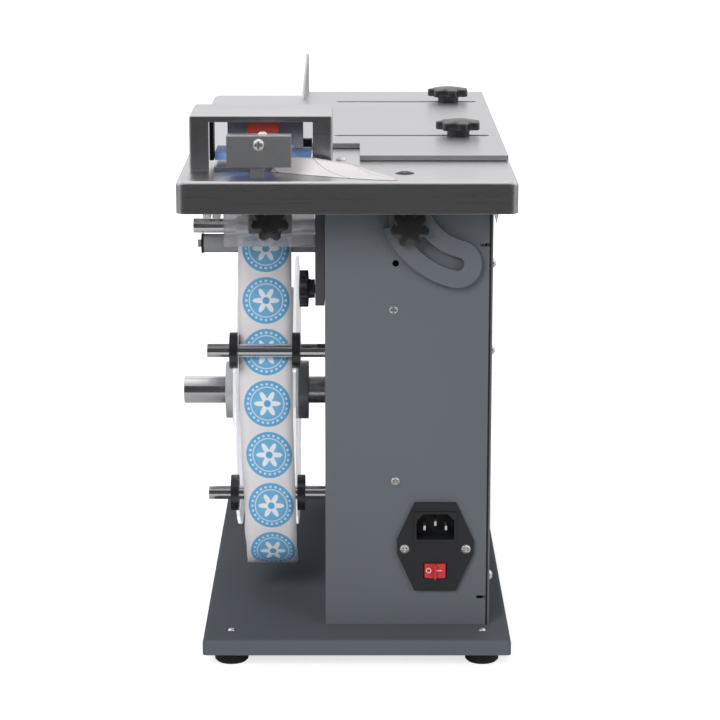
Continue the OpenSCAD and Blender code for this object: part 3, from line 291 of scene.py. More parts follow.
def liner_paper():
    """Pinkish liner with thin dark cut lines across it."""
    s = Surface("liner_paper", Specular_IOR_Level=0.3)
    coords = s.node("SeparateXYZ", Vector=s.node("UVMap").outputs["UV"])
    slant = s.math("ADD", coords.outputs["X"], s.math("MULTIPLY", coords.outputs["Y"], CUT_SLANT))
    step = s.math("FLOORED_MODULO", s.math("SUBTRACT", slant, CUT_START), CUT_PITCH)
    line = s.span(step, low=1, high=0, from_low=CUT_FULL, from_high=CUT_END)
    fibre = s.noise(scale=400, detail=3)
    paper = s.mix(fibre, LINER_DARK, LINER_PALE)
    return paper_skin(s, s.mix(s.math("MULTIPLY", line, CUT_DARK), paper, CUT_COLOUR), fibre)


LAYERS_PER_M = 4200.0


def wound_side(name):
    """The side of a wound roll: paper layers with thin lines between them."""
    s = Surface(name, Specular_IOR_Level=0.3)
    low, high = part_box("label_roll")
    centre = (low + high) / 2
    coords = s.node("SeparateXYZ", Vector=s.place())
    y = s.math("SUBTRACT", coords.outputs["Y"], centre.y)
    z = s.math("SUBTRACT", coords.outputs["Z"], centre.z)
    radius = s.math("SQRT", s.math("ADD", s.math("MULTIPLY", y, y), s.math("MULTIPLY", z, z)))
    depth = s.math("MULTIPLY", radius, LAYERS_PER_M)
    layers = s.node("TexNoise", {"noise_dimensions": "1D"}, W=depth, Scale=1.0).outputs["Fac"]
    tone = s.mix(layers, rgb("#bcbfc9"), rgb("#eceaf0"))
    return s.set(Base_Color=tone, Roughness=s.span(layers, low=0.5, high=0.7),
                 Normal=s.bump(layers, strength=0.3, distance=0.1 * MM))


# How finely the lines of a metal run along X, Y and Z, in lines to the metre
ALONG_X = (14, 1700, 1700)
ALONG_Z = (1700, 1700, 14)
RINGS_X = (2600, 10, 10)
GRAINY = (900, 900, 900)
WINDINGS = (300, 300, 2600)
M = {
    "grey_paint": painted("grey_paint", rgb("#62676d")),
    "matt_paint": painted("matt_paint", rgb("#60656b"), rough=0.7, shine=0.03),
    "stainless": brushed("stainless", rgb("#d0d0d3"), ALONG_X, rough=0.30, depth=0.02),
    "stainless_plate": brushed("stainless_plate", rgb("#cacace"), ALONG_X, rough=0.34, depth=0.02,
                               metal=0.75),
    "turned": brushed("turned", rgb("#d6d6d9"), RINGS_X, rough=0.16),
    "satin": brushed("satin", rgb("#d4d4d9"), RINGS_X, rough=0.22, metal=0.35),
    "polished": brushed("polished", rgb("#e2e2e5"), RINGS_X, rough=0.07, depth=0.02),
    "zinc": brushed("zinc", rgb("#c3c5c9"), ALONG_Z, rough=0.32),
    # Pale matt paint on zinc parts: partly the metal's own pale tone, partly a painted reflection of its
    # bright sheen.
    "zinc_painted_sheen": painted("zinc_painted_sheen", rgb("#d8d9db"), rough=0.4),
    # Matt grey for the zinc head frame, made lighter than its own tone: painted light that lifts it out of
    # the hood's shade.
    "grey_zinc_painted_light": painted("grey_zinc_painted_light", rgb("#a8a9af"), rough=0.4),
    "screw": brushed("screw", rgb("#e4e4e2"), GRAINY, rough=0.2, metal=0.88),
    "dark_steel": painted("dark_steel", rgb("#515257"), rough=0.4),
    "black_bolt": brushed("black_bolt", rgb("#2e2f33"), GRAINY, rough=0.36),
    "milled": brushed("milled", rgb("#b4b5b9"), ALONG_X, rough=0.3, depth=0.03, metal=0.8),
    "dark_zinc": brushed("dark_zinc", rgb("#87888c"), RINGS_X, rough=0.3),
    "knob": plastic("knob", rgb("#1e1e20"), rough=0.3, depth=0.08, shine=0.9),
    "rubber": plastic("rubber", rgb("#1a1a1c"), rough=0.62, grain_scale=1500, depth=0.3),
    "inlet": plastic("inlet", rgb("#242528"), rough=0.48),
    "sensor": plastic("sensor", rgb("#161618"), rough=0.5),
    "red": plastic("red", rgb("#cc3238"), rough=0.24, grain_scale=900, depth=0.05),
    "coil": brushed("coil", rgb("#b8443a"), WINDINGS, rough=0.5, metal=0.0),
    "pad": plastic("pad", rgb("#86aef2"), rough=0.5, grain_scale=900),
    "motor": painted("motor", rgb("#2b2c30"), rough=0.5),
    "grey_rubber": plastic("grey_rubber", rgb("#8b8d90"), rough=0.5, grain_scale=1800, depth=0.3),
    # The reel discs glow a little: painted light that brightens their rims.
    "clear": clear_plastic("clear", rgb("#fafbfd"), rough=0.06, clear=0.86, bend=1.06, glow=0.14),
    "frosted": clear_plastic("frosted", rgb("#e2e0e4"), rough=0.16, clear=0.72, bend=1.3, glow=0.0),
    "board": plastic("board", rgb("#2c6b45")),
    "core": plain_paper("core", rgb("#b79a72"), scale=300),
    "paper": plain_paper("paper", PAPER),
    "labels": label_paper(),
    "liner": liner_paper(),
    "layers": wound_side("layers"),
    "mark": plain_paper("mark", rgb("#f0c9c6"), scale=900),
}

FINISH = {
    "grey_paint": ["cabinet_shell", "side_cover", "tilt_plate"],
    "matt_paint": ["base_plate"],
    "stainless": ["table_top", "head_cover", "peel_plate"],
    "stainless_plate": ["guide_plate"],
    "turned": ["reel_shaft", "hinge_rod", "tilt_stud", "guide_studs"],
    "satin": ["reel_hub"],
    "polished": ["upper_guide_rod", "lower_guide_rod", "pinch_roller"],
    "zinc": ["power_supply", "hinge_brackets", "board_standoffs", "rod_nuts"],
    # The lugs, the hanger and the fence take the pale paint with its painted reflection.
    "zinc_painted_sheen": ["hinge_lugs", "guide_hanger", "guide_fence"],
    "screw": ["foot_screws", "case_screws", "head_screws", "inlet_pins"],
    "dark_steel": ["head_bracket"],
    "black_bolt": ["flange_bolt"],
    "milled": ["reel_shaft_block", "clamp_block"],
    # The head frame takes the lighter grey with its painted light.
    "grey_zinc_painted_light": ["head_frame"],
    "dark_zinc": ["reel_nut"],
    "knob": ["collar_upper_left", "collar_upper_right", "collar_lower_left", "collar_lower_right",
             "tilt_knob", "guide_knob_rear", "guide_knob_front", "bracket_knob", "clear_knob"],
    "rubber": ["rubber_feet", "cover_seal"],
    "inlet": ["inlet_housing"],
    "sensor": ["label_sensor"],
    "red": ["rocker_switch"],
    "coil": ["press_coil"],
    "pad": ["press_pad"],
    "motor": ["feed_motor"],
    "grey_rubber": ["feed_roller"],
    "clear": ["reel_disc_left", "reel_disc_right"],
    "frosted": ["clear_guide"],
    "board": ["control_board"],
    "core": ["roll_core"],
    "layers": ["label_roll"],
    "paper": ["label_tape", "feed_tape"],
    "liner": ["liner_end"],
}
for finish, names in FINISH.items():
    for name in names:
        slots = NODES[name].data.materials
        slots.clear()
        slots.append(M[finish])


# Pieces


def piece(name, bm, body, slot, *materials, smooth=True):
    """A mesh piece that rides on a body."""
    bmesh.ops.recalc_face_normals(bm, faces=bm.faces)
    mesh = bpy.data.meshes.new(name)
    bm.to_mesh(mesh)
    bm.free()
    for material in materials:
        mesh.materials.append(material)
    if smooth:
        mesh.shade_smooth()
    made = bpy.data.objects.new(name, mesh)
    SCENE.collection.objects.link(made)
    if body:
        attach(made, body)
    return made


SHARP = 35


def sharp_edges(obj, degrees=SHARP):
    """Keeps edges over this angle sharp under smooth shading."""
    obj.data.set_sharp_from_angle(angle=math.radians(degrees))


KNOB_LOBES = 7
KNOB_LOBE_DEPTH = 0.24
KNOB_LOBE_ROUND = 1.4
KNOB_NECK = 4 * MM
KNOB_STEPS = 112
KNOB_SHARP = 50
KNOB_RIM = 0.74
BRACKET_RIM = 0.92
# Rings of a knob: a height, the share of the radius and the share of the lobes' depth. The height is a share
# of the neck, of the head above it, and of the dome above the head's rim.
NECK_RINGS = ((0, 0.50, 0), (0.5, 0.50, 0), (1, 0.53, 0), (1, 0.80, 0.6))
HEAD_RINGS = ((0.02, 0.96, 1), (0.08, 1, 1))
DOME_RINGS = ((-0.2, 1, 1), (0.05, 0.98, 1), (0.15, 0.92, 0.95), (0.35, 0.78, 0.5), (0.7, 0.56, 0.15),
              (0.92, 0.28, 0))


def star_knob(node, rim):
    """A moulded star knob with round lobes and a low dome, in place of its plain solid.

    A knob's body has the name of its node.
    """
    low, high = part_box(node)
    size = high - low
    axis = min(range(3), key=lambda i: size[i])
    radius = max(size) / 2
    head = size[axis] - KNOB_NECK
    centre = (low + high) / 2
    outward = -1 if axis < 2 else 1
    start = centre.copy()
    start[axis] = low[axis] if outward > 0 else high[axis]
    rings = [(KNOB_NECK * up, share, star) for up, share, star in NECK_RINGS]
    rings += [(KNOB_NECK + head * up, share, star) for up, share, star in HEAD_RINGS]
    rings += [(KNOB_NECK + head * (rim + (1 - rim) * up), share, star) for up, share, star in DOME_RINGS]
    bm = bmesh.new()
    loops = []
    for height, share, star in rings:
        loop = []
        for i in range(KNOB_STEPS):
            turn = 2 * math.pi * i / KNOB_STEPS
            scallop = (0.5 - 0.5 * math.cos(KNOB_LOBES * turn)) ** KNOB_LOBE_ROUND
            r = radius * share * (1 - KNOB_LOBE_DEPTH * star * scallop)
            loop.append(bm.verts.new((r * math.cos(turn), r * math.sin(turn), height)))
        loops.append(loop)
    for a, b in zip(loops, loops[1:]):
        for i in range(KNOB_STEPS):
            k = (i + 1) % KNOB_STEPS
            bm.faces.new((a[i], a[k], b[k], b[i]))
    for loop, height in ((loops[0], 0), (loops[-1], KNOB_NECK + head)):
        tip = bm.verts.new((0, 0, height))
        for i in range(KNOB_STEPS):
            bm.faces.new((loop[i], loop[(i + 1) % KNOB_STEPS], tip))
    direction = Vector((0, 0, 0))
    direction[axis] = outward
    turn = direction.to_track_quat("Z", "X").to_matrix().to_4x4()
    bmesh.ops.transform(bm, matrix=Matrix.Translation(start) @ turn, verts=bm.verts)
    made = piece(node + "_star", bm, node, "knob_black", M["knob"])
    sharp_edges(made, KNOB_SHARP)
    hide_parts(node)


for knob in ("tilt_knob", "guide_knob_rear", "guide_knob_front", "clear_knob"):
    star_knob(knob, KNOB_RIM)
star_knob("bracket_knob", BRACKET_RIM)


# Label web: from the roll, round the lower and upper rods and over the feed roller to the peel plate

REST = 0.3 * MM
WEB_T = 0.4 * MM
NIP = 0.2 * MM
LEAVE_ANGLE = 70
LEAVE_PULL = 70 * MM
LOOP_DROP = 95 * MM
NIP_RUN = 12 * MM
NIP_PULL = 17 * MM
PEEL_GAP = 0.5 * MM
PEEL_START = 12 * MM
PEEL_PULL = 20 * MM
LOOP_STEPS = 60
WRAP_STEPS = 8
RISE_STEPS = 24


def middle(node):
    """The middle of a node's box."""
    low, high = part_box(node)
    return (low + high) / 2


def half_height(node):
    """The radius of a round node that lies on its side."""
    low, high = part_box(node)
    return (high.z - low.z) / 2


def bezier(a, b, c, d, count):
    """Points along a curve from a to d, drawn towards b and c."""
    out = []
    for i in range(count + 1):
        t = i / count
        out.append((1 - t) ** 3 * a + 3 * t * (1 - t) ** 2 * b + 3 * t * t * (1 - t) * c + t ** 3 * d)
    return out


def on_circle(centre, r, degrees):
    """A point on a circle in Y and Z."""
    turn = math.radians(degrees)
    return centre + r * Vector((math.cos(turn), math.sin(turn)))


def flat(v):
    """Y and Z of a point."""
    return Vector((v.y, v.z))


def web_route():
    """The web's middle line as points in Y and Z."""
    reel = flat(middle("label_roll"))
    lower, upper = flat(middle("lower_guide_rod")), flat(middle("upper_guide_rod"))
    rod_r = half_height("upper_guide_rod")
    feed, pinch = flat(middle("feed_roller")), flat(middle("pinch_roller"))
    off = REST + WEB_T / 2
    leave = on_circle(reel, half_height("label_roll") + off, -LEAVE_ANGLE)
    tangent = Vector((math.sin(math.radians(LEAVE_ANGLE)), math.cos(math.radians(LEAVE_ANGLE))))
    low = lower - Vector((rod_r + off, 0))
    high = upper + Vector((rod_r + off, 0))
    wrap = half_height("feed_roller") + NIP + WEB_T / 2
    nip_angle = math.degrees(math.atan2(pinch.y - feed.y, pinch.x - feed.x))
    out_dir = Vector((math.cos(math.radians(nip_angle - 90)), math.sin(math.radians(nip_angle - 90))))
    leave_nip = on_circle(feed, wrap, nip_angle) + NIP_RUN * out_dir
    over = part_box("peel_plate")[1].z + PEEL_GAP + WEB_T / 2
    back = Vector((feed.x + PEEL_START, over))
    front = Vector((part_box("feed_tape")[0].y, over))
    route = bezier(leave, leave - LEAVE_PULL * tangent, low - Vector((0, LOOP_DROP)), low, LOOP_STEPS)
    route += [high]
    route += [on_circle(feed, wrap, 180 + (nip_angle - 180) * i / WRAP_STEPS) for i in range(WRAP_STEPS + 1)]
    ahead = back + Vector((PEEL_PULL, 0))
    route += bezier(leave_nip, leave_nip + NIP_PULL * out_dir, ahead, back, RISE_STEPS)
    return route + [front]


def even(points, step):
    """The same line at even steps of length."""
    out, left = [points[0]], step
    for a, b in zip(points, points[1:]):
        span = (b - a).length
        while span >= left:
            a = a + (b - a) * (left / span)
            out.append(a)
            span = (b - a).length
            left = step
        left -= span
    return out


WEB_STEP = 1.5 * MM
WEB_COLUMNS = 6
WEB_HALF = 0.3 * WEB_T
WEB_FRONT = 80 * MM
LABEL_Z = 158.5 * MM
LABELS_BEFORE = 40
WEB_SKEW_LEFT = 4.4 * MM
WEB_SKEW_RIGHT = 3.0 * MM


def web_lean(line):
    """The web's share of its lean to the right: none between the discs, most at the loop's bottom."""
    axis, reach = flat(middle("reel_disc_right")), half_height("reel_disc_right")
    bottom = min(range(len(line)), key=lambda i: line[i].y)
    free = next(i for i, p in enumerate(line) if (p - axis).length > reach)
    upper = middle("upper_guide_rod").z
    rise = upper - line[bottom].y
    shares = []
    for i, p in enumerate(line):
        share = (i - free) / (bottom - free) if i < bottom else (upper - p.y) / rise
        share = min(max(share, 0.0), 1.0)
        shares.append(share * share * (3 - 2 * share))
    return shares


def label_web():
    """The printed web as one thin sheet."""
    line = even(web_route(), WEB_STEP)
    line = [sum((line[max(0, min(len(line) - 1, i + k))] for k in (-1, 0, 1)), Vector((0, 0))) / 3
            for i in range(len(line))]
    low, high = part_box("label_tape")
    columns = [low.x + (high.x - low.x) * i / WEB_COLUMNS for i in range(WEB_COLUMNS + 1)]
    centre = (low.x + high.x) / 2
    front_run = [i for i, p in enumerate(line) if p.x < middle("reel_hub").y - WEB_FRONT]
    at_label = min(front_run, key=lambda i: abs(line[i].y - LABEL_Z))
    phase = LABEL_PITCH / 2 - at_label * WEB_STEP + LABELS_BEFORE * LABEL_PITCH
    shares = web_lean(line)
    turn = WEB_SKEW_RIGHT - WEB_SKEW_LEFT
    leans = [WEB_SKEW_LEFT + turn * i / WEB_COLUMNS for i in range(WEB_COLUMNS + 1)]
    bm = bmesh.new()
    uv = bm.loops.layers.uv.new("UVMap")
    sheets = []
    for side in (1, -1):
        rows = []
        for i, p in enumerate(line):
            ahead = line[min(i + 1, len(line) - 1)] - line[max(i - 1, 0)]
            normal = Vector((-ahead.y, ahead.x)).normalized()
            q = p + normal * side * WEB_HALF
            rows.append([bm.verts.new((x + lean * shares[i], q.x, q.y)) for x, lean in zip(columns, leans)])
        sheets.append(rows)

    def face(corners, index, places):
        made = bm.faces.new(corners)
        made.material_index = index
        made.smooth = True
        for loop, (row, column) in zip(made.loops, places):
            loop[uv].uv = (columns[column] - centre, row * WEB_STEP + phase)

    last, wide = len(line) - 1, len(columns) - 1
    for side, rows in enumerate(sheets):
        for i in range(last):
            for k in range(wide):
                places = [(i, k), (i, k + 1), (i + 1, k + 1), (i + 1, k)]
                places = places if side else places[::-1]
                face([rows[r][c] for r, c in places], 0, places)
    front, rear = sheets
    for i in range(last):
        for k in (0, wide):
            face([front[i][k], front[i + 1][k], rear[i + 1][k], rear[i][k]], 1,
                 [(i, k), (i + 1, k), (i + 1, k), (i, k)])
    for i in (0, last):
        for k in range(wide):
            face([front[i][k], front[i][k + 1], rear[i][k + 1], rear[i][k]], 1,
                 [(i, k), (i, k + 1), (i, k + 1), (i, k)])
    made = piece("label_web", bm, None, "label_paper", M["labels"], M["paper"], smooth=False)
    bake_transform(made)
    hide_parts("label_tape", "feed_tape")


label_web()


ROLL_LAYERS = 42
ROLL_STEPS = 128
ROLL_LABELS = 13
ROLL_GAP = 0.05 * MM
ROLL_UNEVEN = 0.25 * MM


def label_roll():
    """The wound roll: its outside shows labels, and its layers stand a little uneven at the sides."""
    low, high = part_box("label_roll")
    centre = middle("label_roll")
    outer = half_height("label_roll")
    inner = half_height("roll_core") + ROLL_GAP
    bm = bmesh.new()
    uv = bm.loops.layers.uv.new("UVMap")
    profile = []
    for x, sign in ((low.x, 1), (high.x, -1)):
        side = []
        for i in range(ROLL_LAYERS + 1):
            wobble = random.uniform(0, ROLL_UNEVEN) if 0 < i < ROLL_LAYERS else ROLL_GAP
            side.append((x + sign * wobble, inner + (outer - inner) * i / ROLL_LAYERS))
        profile.append(side)
    ring = profile[0] + profile[1][::-1]
    loops = []
    for i in range(ROLL_STEPS):
        turn = 2 * math.pi * i / ROLL_STEPS
        loops.append([bm.verts.new((x, centre.y + r * math.cos(turn), centre.z + r * math.sin(turn)))
                      for x, r in ring])
    for i in range(ROLL_STEPS):
        a, b = loops[i], loops[(i + 1) % ROLL_STEPS]
        for k in range(len(ring)):
            n = (k + 1) % len(ring)
            face = bm.faces.new((a[k], b[k], b[n], a[n]))
            face.smooth = k in (ROLL_LAYERS, len(ring) - 1)
            face.material_index = 0 if k == ROLL_LAYERS else 1
            for loop, (p, q) in zip(face.loops, ((k, i), (k, i + 1), (n, i + 1), (n, i))):
                along = q / ROLL_STEPS * ROLL_LABELS * LABEL_PITCH
                loop[uv].uv = (ring[p][0] - centre.x, along + LABEL_PITCH)
    made = piece("label_roll_wound", bm, "reel", "label_paper", M["labels"], M["layers"], smooth=False)
    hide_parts("label_roll")


label_roll()


# Head cover and clamp block with round edges

FOLD_R = 1.8 * MM
FOLD_STEPS = 6
FLUSH = 0.05 * MM
MERGE = 0.01 * MM
FLAT_ANGLE = math.radians(2)
ROUND_ANGLE = math.radians(40)


def fold_edges(bm, node):
    """The outer bends of a folded cover: along its top and down its front corners."""
    low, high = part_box(node)
    planes = ((0, low.x), (0, high.x), (1, low.y), (2, high.z))

    def faces_met(edge):
        return sum(all(abs(v.co[axis] - place) < FLUSH for v in edge.verts) for axis, place in planes)

    return [edge for edge in bm.edges if faces_met(edge) > 1]


def round_off(bm, edges, width, steps):
    """Bevels edges to a round."""
    bmesh.ops.bevel(bm, geom=edges, offset=width, segments=steps, profile=0.5, affect="EDGES",
                    clamp_overlap=True)


def rounded_copy(node, name, slot, width, steps, folded=False):
    """A copy of one of the table's solids with its sharp edges rounded, in its place."""
    bm = bmesh.new()
    bm.from_mesh(NODES[node].data)
    bmesh.ops.remove_doubles(bm, verts=bm.verts, dist=MERGE)
    bmesh.ops.dissolve_limit(bm, angle_limit=FLAT_ANGLE, verts=bm.verts, edges=bm.edges)
    if folded:
        round_off(bm, fold_edges(bm, node), FOLD_R, FOLD_STEPS)
    sharp = [e for e in bm.edges if e.is_manifold and e.calc_face_angle() > ROUND_ANGLE]
    round_off(bm, sharp, width, steps)
    made = piece(name, bm, "table", slot, NODES[node].data.materials[0])
    sharp_edges(made)
    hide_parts(node)


rounded_copy("head_cover", "head_cover_folded", "brushed_stainless", width=0.4 * MM, steps=3, folded=True)
rounded_copy("clamp_block", "clamp_block_milled", "machined_aluminium", width=1.5 * MM, steps=4)


# Dark end disc of the feed roller

END_T = 1.6 * MM
END_PROUD = 0.4 * MM
END_STEPS = 48
AXLE_STUB = 4 * MM


def feed_end():
    """A thin disc on the axle stub, a little larger than the roller."""
    centre = middle("feed_roller")
    radius = half_height("feed_roller") + END_PROUD
    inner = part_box("feed_roller")[0].x + AXLE_STUB
    bm = bmesh.new()
    bmesh.ops.create_cone(bm, cap_ends=True, segments=END_STEPS, radius1=radius, radius2=radius, depth=END_T)
    place = Matrix.Translation((inner - END_T / 2, centre.y, centre.z))
    turn = Matrix.Rotation(math.pi / 2, 4, "Y")
    bmesh.ops.transform(bm, matrix=place @ turn, verts=bm.verts)
    made = piece("feed_end_disc", bm, "feed", "rubber_black", M["rubber"])
    sharp_edges(made)


feed_end()


# Loose end of the liner on the table

# Stations from left to right, in millimetres: the edge on the table as X and Y, and the raised edge as X, Y
# and its height
LINER = [
    ((-44, -186), (-41, -184, 6.4)), ((-30, -195), (-30, -185, 9.4)), ((-16, -202), (-16, -185, 8.8)),
    ((0, -210), (7, -186, 5.0)), ((21, -219), (22, -190, 0.6)), ((35, -221), (36, -219, 0.2)),
]
LINER_ROWS = 10
LINER_STEPS = 8
LINER_GAP = 0.4 * MM
LINER_T = 0.2 * MM
LINER_CURL = 1.4
LINER_SMOOTH = 0.5


def liner_sheet():
    """A used strip that comes from under the clamp block, with its back edge off the table."""
    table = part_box("peel_plate")[0].z + LINER_GAP
    edges = [(Vector((*low, 0)) * MM, Vector(high) * MM) for low, high in LINER]
    stations = []
    for i, (a, b) in enumerate(zip(edges, edges[1:])):
        last = i == len(edges) - 2
        for k in range(LINER_STEPS + last):
            t = k / LINER_STEPS
            stations.append((a[0].lerp(b[0], t), a[1].lerp(b[1], t)))
    bm = bmesh.new()
    uv = bm.loops.layers.uv.new("UVMap")
    rows = []
    for low, high in stations:
        row = []
        for k in range(LINER_ROWS + 1):
            t = k / LINER_ROWS
            point = low.lerp(high, t)
            row.append(bm.verts.new((point.x, point.y, table + high.z * t ** LINER_CURL)))
        rows.append(row)
    for a, b in zip(rows, rows[1:]):
        for k in range(LINER_ROWS):
            bm.faces.new((a[k], b[k], b[k + 1], a[k + 1]))
    inner = [v for row in rows[1:-1] for v in row]
    bmesh.ops.smooth_vert(bm, verts=inner, factor=LINER_SMOOTH, use_axis_z=True)
    for f in bm.faces:
        for loop in f.loops:
            loop[uv].uv = loop.vert.co.xy
    made = piece("liner_sheet", bm, "table", "label_paper", M["liner"])
    thick = made.modifiers.new("thickness", "SOLIDIFY")
    thick.thickness = LINER_T
    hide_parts("liner_end")


liner_sheet()


# Marks on the mains switch

MARK_SLOPE = math.radians(10)
MARK_OUT = 3.5 * MM
MARK_LEFT = 0.9 * MM
MARK_UP = 1.3 * MM
MARK_R = 1.8 * MM
MARK_W = 0.6 * MM
MARK_T = 0.08 * MM
MARK_STEPS = 32


def rocker_marks():
    """A ring on the left half of the rocker and a bar on its right half."""
    ridge = middle("rocker_switch")
    ridge.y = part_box("rocker_switch")[0].y
    ring = bmesh.new()
    circles = []
    for radius in (MARK_R, MARK_R - MARK_W):
        turns = [2 * math.pi * i / MARK_STEPS for i in range(MARK_STEPS)]
        circles.append([ring.verts.new((radius * math.cos(t), 0, radius * math.sin(t))) for t in turns])
    for i in range(MARK_STEPS):
        k = (i + 1) % MARK_STEPS
        ring.faces.new((circles[0][i], circles[0][k], circles[1][k], circles[1][i]))
    bar = bmesh.new()
    corners = ((-MARK_R, -1), (MARK_R, -1), (MARK_R, 1), (-MARK_R, 1))
    bar.faces.new([bar.verts.new((x, 0, z * MARK_W / 2)) for x, z in corners])
    for name, bm, side in (("rocker_ring", ring, -1), ("rocker_bar", bar, 1)):
        solid = bmesh.ops.extrude_face_region(bm, geom=bm.faces[:])["geom"]
        for v in solid:
            if isinstance(v, bmesh.types.BMVert):
                v.co.y -= MARK_T
        turn = Matrix.Translation(ridge) @ Matrix.Rotation(side * MARK_SLOPE, 4, "Z")
        shift = Matrix.Translation((side * MARK_OUT - MARK_LEFT, 0, MARK_UP))
        bmesh.ops.transform(bm, matrix=turn @ shift, verts=bm.verts)
        piece(name, bm, "rocker", "switch_red", M["mark"], smooth=False)


rocker_marks()


# Camera, floor and light

LENS = 126.3
SENSOR = 36.0
CAMERA = Vector((8.8, -1765.0, 557.6)) * MM
PITCH = math.radians(90 - 12.74)
SHIFT = 5.8 / 720
CLIP_END = 50


def set_camera():
    """The photo's view, from the front and a little above."""
    data = bpy.data.cameras.new("camera")
    data.lens = LENS
    data.sensor_width = SENSOR
    data.shift_x = SHIFT
    data.clip_end = CLIP_END
    obj = bpy.data.objects.new("camera", data)
    obj.location = CAMERA
    obj.rotation_euler = (PITCH, 0, 0)
    SCENE.collection.objects.link(obj)
    SCENE.camera = obj


def area(name, place, target, size, power):
    """A round soft lamp. Metal mirrors the room instead of the lamp."""
    data = bpy.data.lights.new(name, "AREA")
    data.shape = "DISK"
    data.size = size
    data.energy = power
    obj = bpy.data.objects.new(name, data)
    obj.location = place
    obj.rotation_euler = (Vector(target) - Vector(place)).to_track_quat("-Z", "Y").to_euler()
    obj.visible_glossy = False
    SCENE.collection.objects.link(obj)


ROOM_LIGHT = 0.16
# How bright the room is in reflections. Each line gives a start and an end, as a share of the direction's
# length, and the level or factor at both. The first runs from front to back, the others from the floor up.
ROOM_FRONT = (-0.9, 0.1, 0.02, 0.92)
ROOM_LIFT = (0.12, 0.5, 0.0, 0.75)
ROOM_OVER = (0.35, 0.8, 1.0, 2.2)
ROOM_CALM = (0.55, 0.8, 1.0, 0.42)
ROOM_CROWN = (0.86, 0.97, 1.0, 1.6)


def set_world():
    """White behind the object, and a darker room on the side of the camera for reflections."""
    world = bpy.data.worlds.new("studio")
    SCENE.world = world
    world.use_nodes = True
    tree = world.node_tree
    tree.nodes.clear()

    def node(kind, settings=None):
        made = tree.nodes.new("ShaderNode" + kind)
        for key, value in (settings or {}).items():
            setattr(made, key, value)
        return made

    def ramp(value, numbers):
        made = node("MapRange", {"interpolation_type": "SMOOTHSTEP"})
        for key, number in zip(RANGE_KEYS, numbers):
            made.inputs[key].default_value = number
        tree.links.new(value, made.inputs["Value"])
        return made.outputs["Result"]

    def combine(operation, a, b):
        made = node("Math", {"operation": operation})
        tree.links.new(a, made.inputs[0])
        tree.links.new(b, made.inputs[1])
        return made.outputs[0]

    path = node("LightPath")
    direction = node("SeparateXYZ")
    tree.links.new(node("TexCoord").outputs["Generated"], direction.inputs["Vector"])
    up = direction.outputs["Z"]
    shown = combine("MAXIMUM", ramp(direction.outputs["Y"], ROOM_FRONT), ramp(up, ROOM_LIFT))
    for numbers in (ROOM_OVER, ROOM_CALM, ROOM_CROWN):
        shown = combine("MULTIPLY", shown, ramp(up, numbers))
    room = node("Mix", {"data_type": "FLOAT"})
    room.inputs[2].default_value = ROOM_LIGHT
    tree.links.new(path.outputs["Is Glossy Ray"], room.inputs[0])
    tree.links.new(shown, room.inputs[3])
    level = node("Mix", {"data_type": "FLOAT"})
    level.inputs[3].default_value = 1.0
    seen = combine("MAXIMUM", path.outputs["Is Camera Ray"], path.outputs["Is Transmission Ray"])
    tree.links.new(seen, level.inputs[0])
    tree.links.new(room.outputs[0], level.inputs[2])
    back = node("Background")
    back.inputs["Color"].default_value = (1, 1, 1, 1)
    tree.links.new(level.outputs[0], back.inputs["Strength"])
    tree.links.new(back.outputs[0], node("OutputWorld").inputs["Surface"])


def plain_material(name, build):
    """A material whose surface is what build(tree) returns."""
    material = bpy.data.materials.new(name)
    material.use_nodes = True
    tree = material.node_tree
    tree.nodes.clear()
    out = tree.nodes.new("ShaderNodeOutputMaterial")
    tree.links.new(build(tree), out.inputs["Surface"])
    return material


def stage_plane(name, corners, material):
    """A flat sheet that isn't part of the object."""
    mesh = bpy.data.meshes.new(name)
    mesh.from_pydata(corners, [], [range(len(corners))])
    mesh.materials.append(material)
    obj = bpy.data.objects.new(name, mesh)
    SCENE.collection.objects.link(obj)
    return obj


FLOOR_SIZE = 6.0
FLOOR_GREY = (0.8, 0.8, 0.8, 1)
# The floor's own light: from 0.45 m to 1.4 m off the middle it grows to full white
FLOOR_LIGHT = (0.45, 1.4, 0.72, 1.0)
FLAG_Y = -0.6
FLAG_SIDE = 1.2
FLAG_TOP = 0.7
FLAG_LEVEL = 0.075


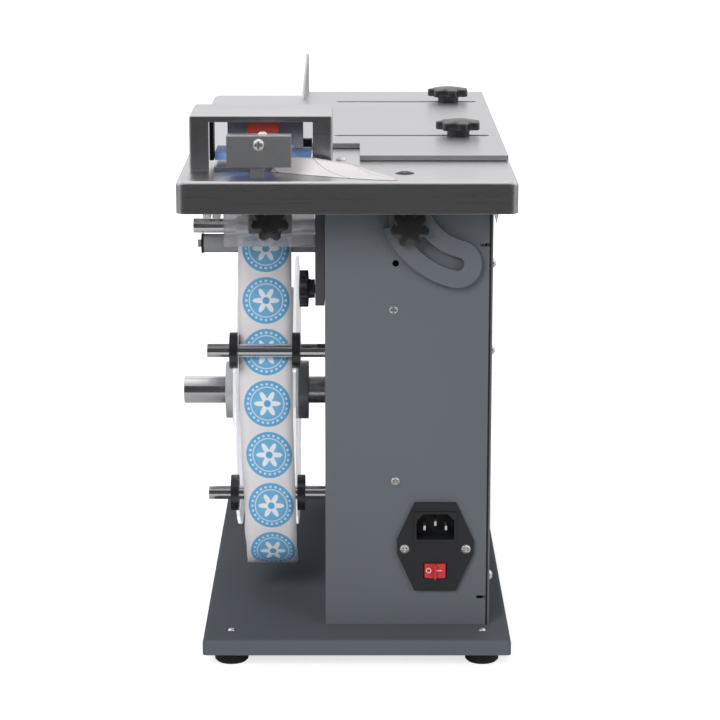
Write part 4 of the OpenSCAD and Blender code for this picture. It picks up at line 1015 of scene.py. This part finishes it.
def floor_surface(tree):
    """Pale and matt, so that it keeps the shadow, and lit up to white for the camera."""
    diffuse = tree.nodes.new("ShaderNodeBsdfDiffuse")
    diffuse.inputs["Color"].default_value = FLOOR_GREY
    glow = tree.nodes.new("ShaderNodeEmission")
    both = tree.nodes.new("ShaderNodeAddShader")
    path = tree.nodes.new("ShaderNodeLightPath")
    spot = tree.nodes.new("ShaderNodeVectorMath")
    spot.operation = "LENGTH"
    far = tree.nodes.new("ShaderNodeMapRange")
    far.interpolation_type = "SMOOTHSTEP"
    for key, number in zip(RANGE_KEYS, FLOOR_LIGHT):
        far.inputs[key].default_value = number
    amount = tree.nodes.new("ShaderNodeMath")
    amount.operation = "MULTIPLY"
    tree.links.new(tree.nodes.new("ShaderNodeTexCoord").outputs["Object"], spot.inputs[0])
    tree.links.new(spot.outputs["Value"], far.inputs["Value"])
    tree.links.new(path.outputs["Is Camera Ray"], amount.inputs[0])
    tree.links.new(far.outputs["Result"], amount.inputs[1])
    tree.links.new(amount.outputs[0], glow.inputs["Strength"])
    tree.links.new(diffuse.outputs[0], both.inputs[0])
    tree.links.new(glow.outputs[0], both.inputs[1])
    return both.outputs[0]


def flag_surface(tree):
    """A dim even light."""
    dark = tree.nodes.new("ShaderNodeEmission")
    dark.inputs["Strength"].default_value = FLAG_LEVEL
    return dark.outputs[0]


def set_floor():
    """A wide floor under the feet."""
    corners = [(x * FLOOR_SIZE, y * FLOOR_SIZE, 0) for x, y in ((-1, -1), (1, -1), (1, 1), (-1, 1))]
    stage_plane("floor", corners, plain_material("floor", floor_surface))


def set_flag():
    """A dark board before the object that only shows in shiny faces."""
    corners = [(-FLAG_SIDE, FLAG_Y, 0), (FLAG_SIDE, FLAG_Y, 0),
               (FLAG_SIDE, FLAG_Y, FLAG_TOP), (-FLAG_SIDE, FLAG_Y, FLAG_TOP)]
    flag = stage_plane("flag", corners, plain_material("flag", flag_surface))
    flag.visible_camera = False
    flag.visible_diffuse = False
    flag.visible_transmission = False
    flag.visible_shadow = False


set_camera()
set_world()
set_floor()
set_flag()
area("key", place=(-0.8, -2.0, 1.35), target=(0, 0, 0.2), size=1.2, power=31)
area("fill", place=(1.3, -1.7, 0.7), target=(0, 0, 0.2), size=1.2, power=11)
area("back", place=(0.5, 2.0, 1.1), target=(0, 0, 0.2), size=1.2, power=9)
area("top", place=(0, 0.2, 1.9), target=(0, 0, 0.3), size=1.5, power=8)

SCENE.view_settings.view_transform = "Standard"
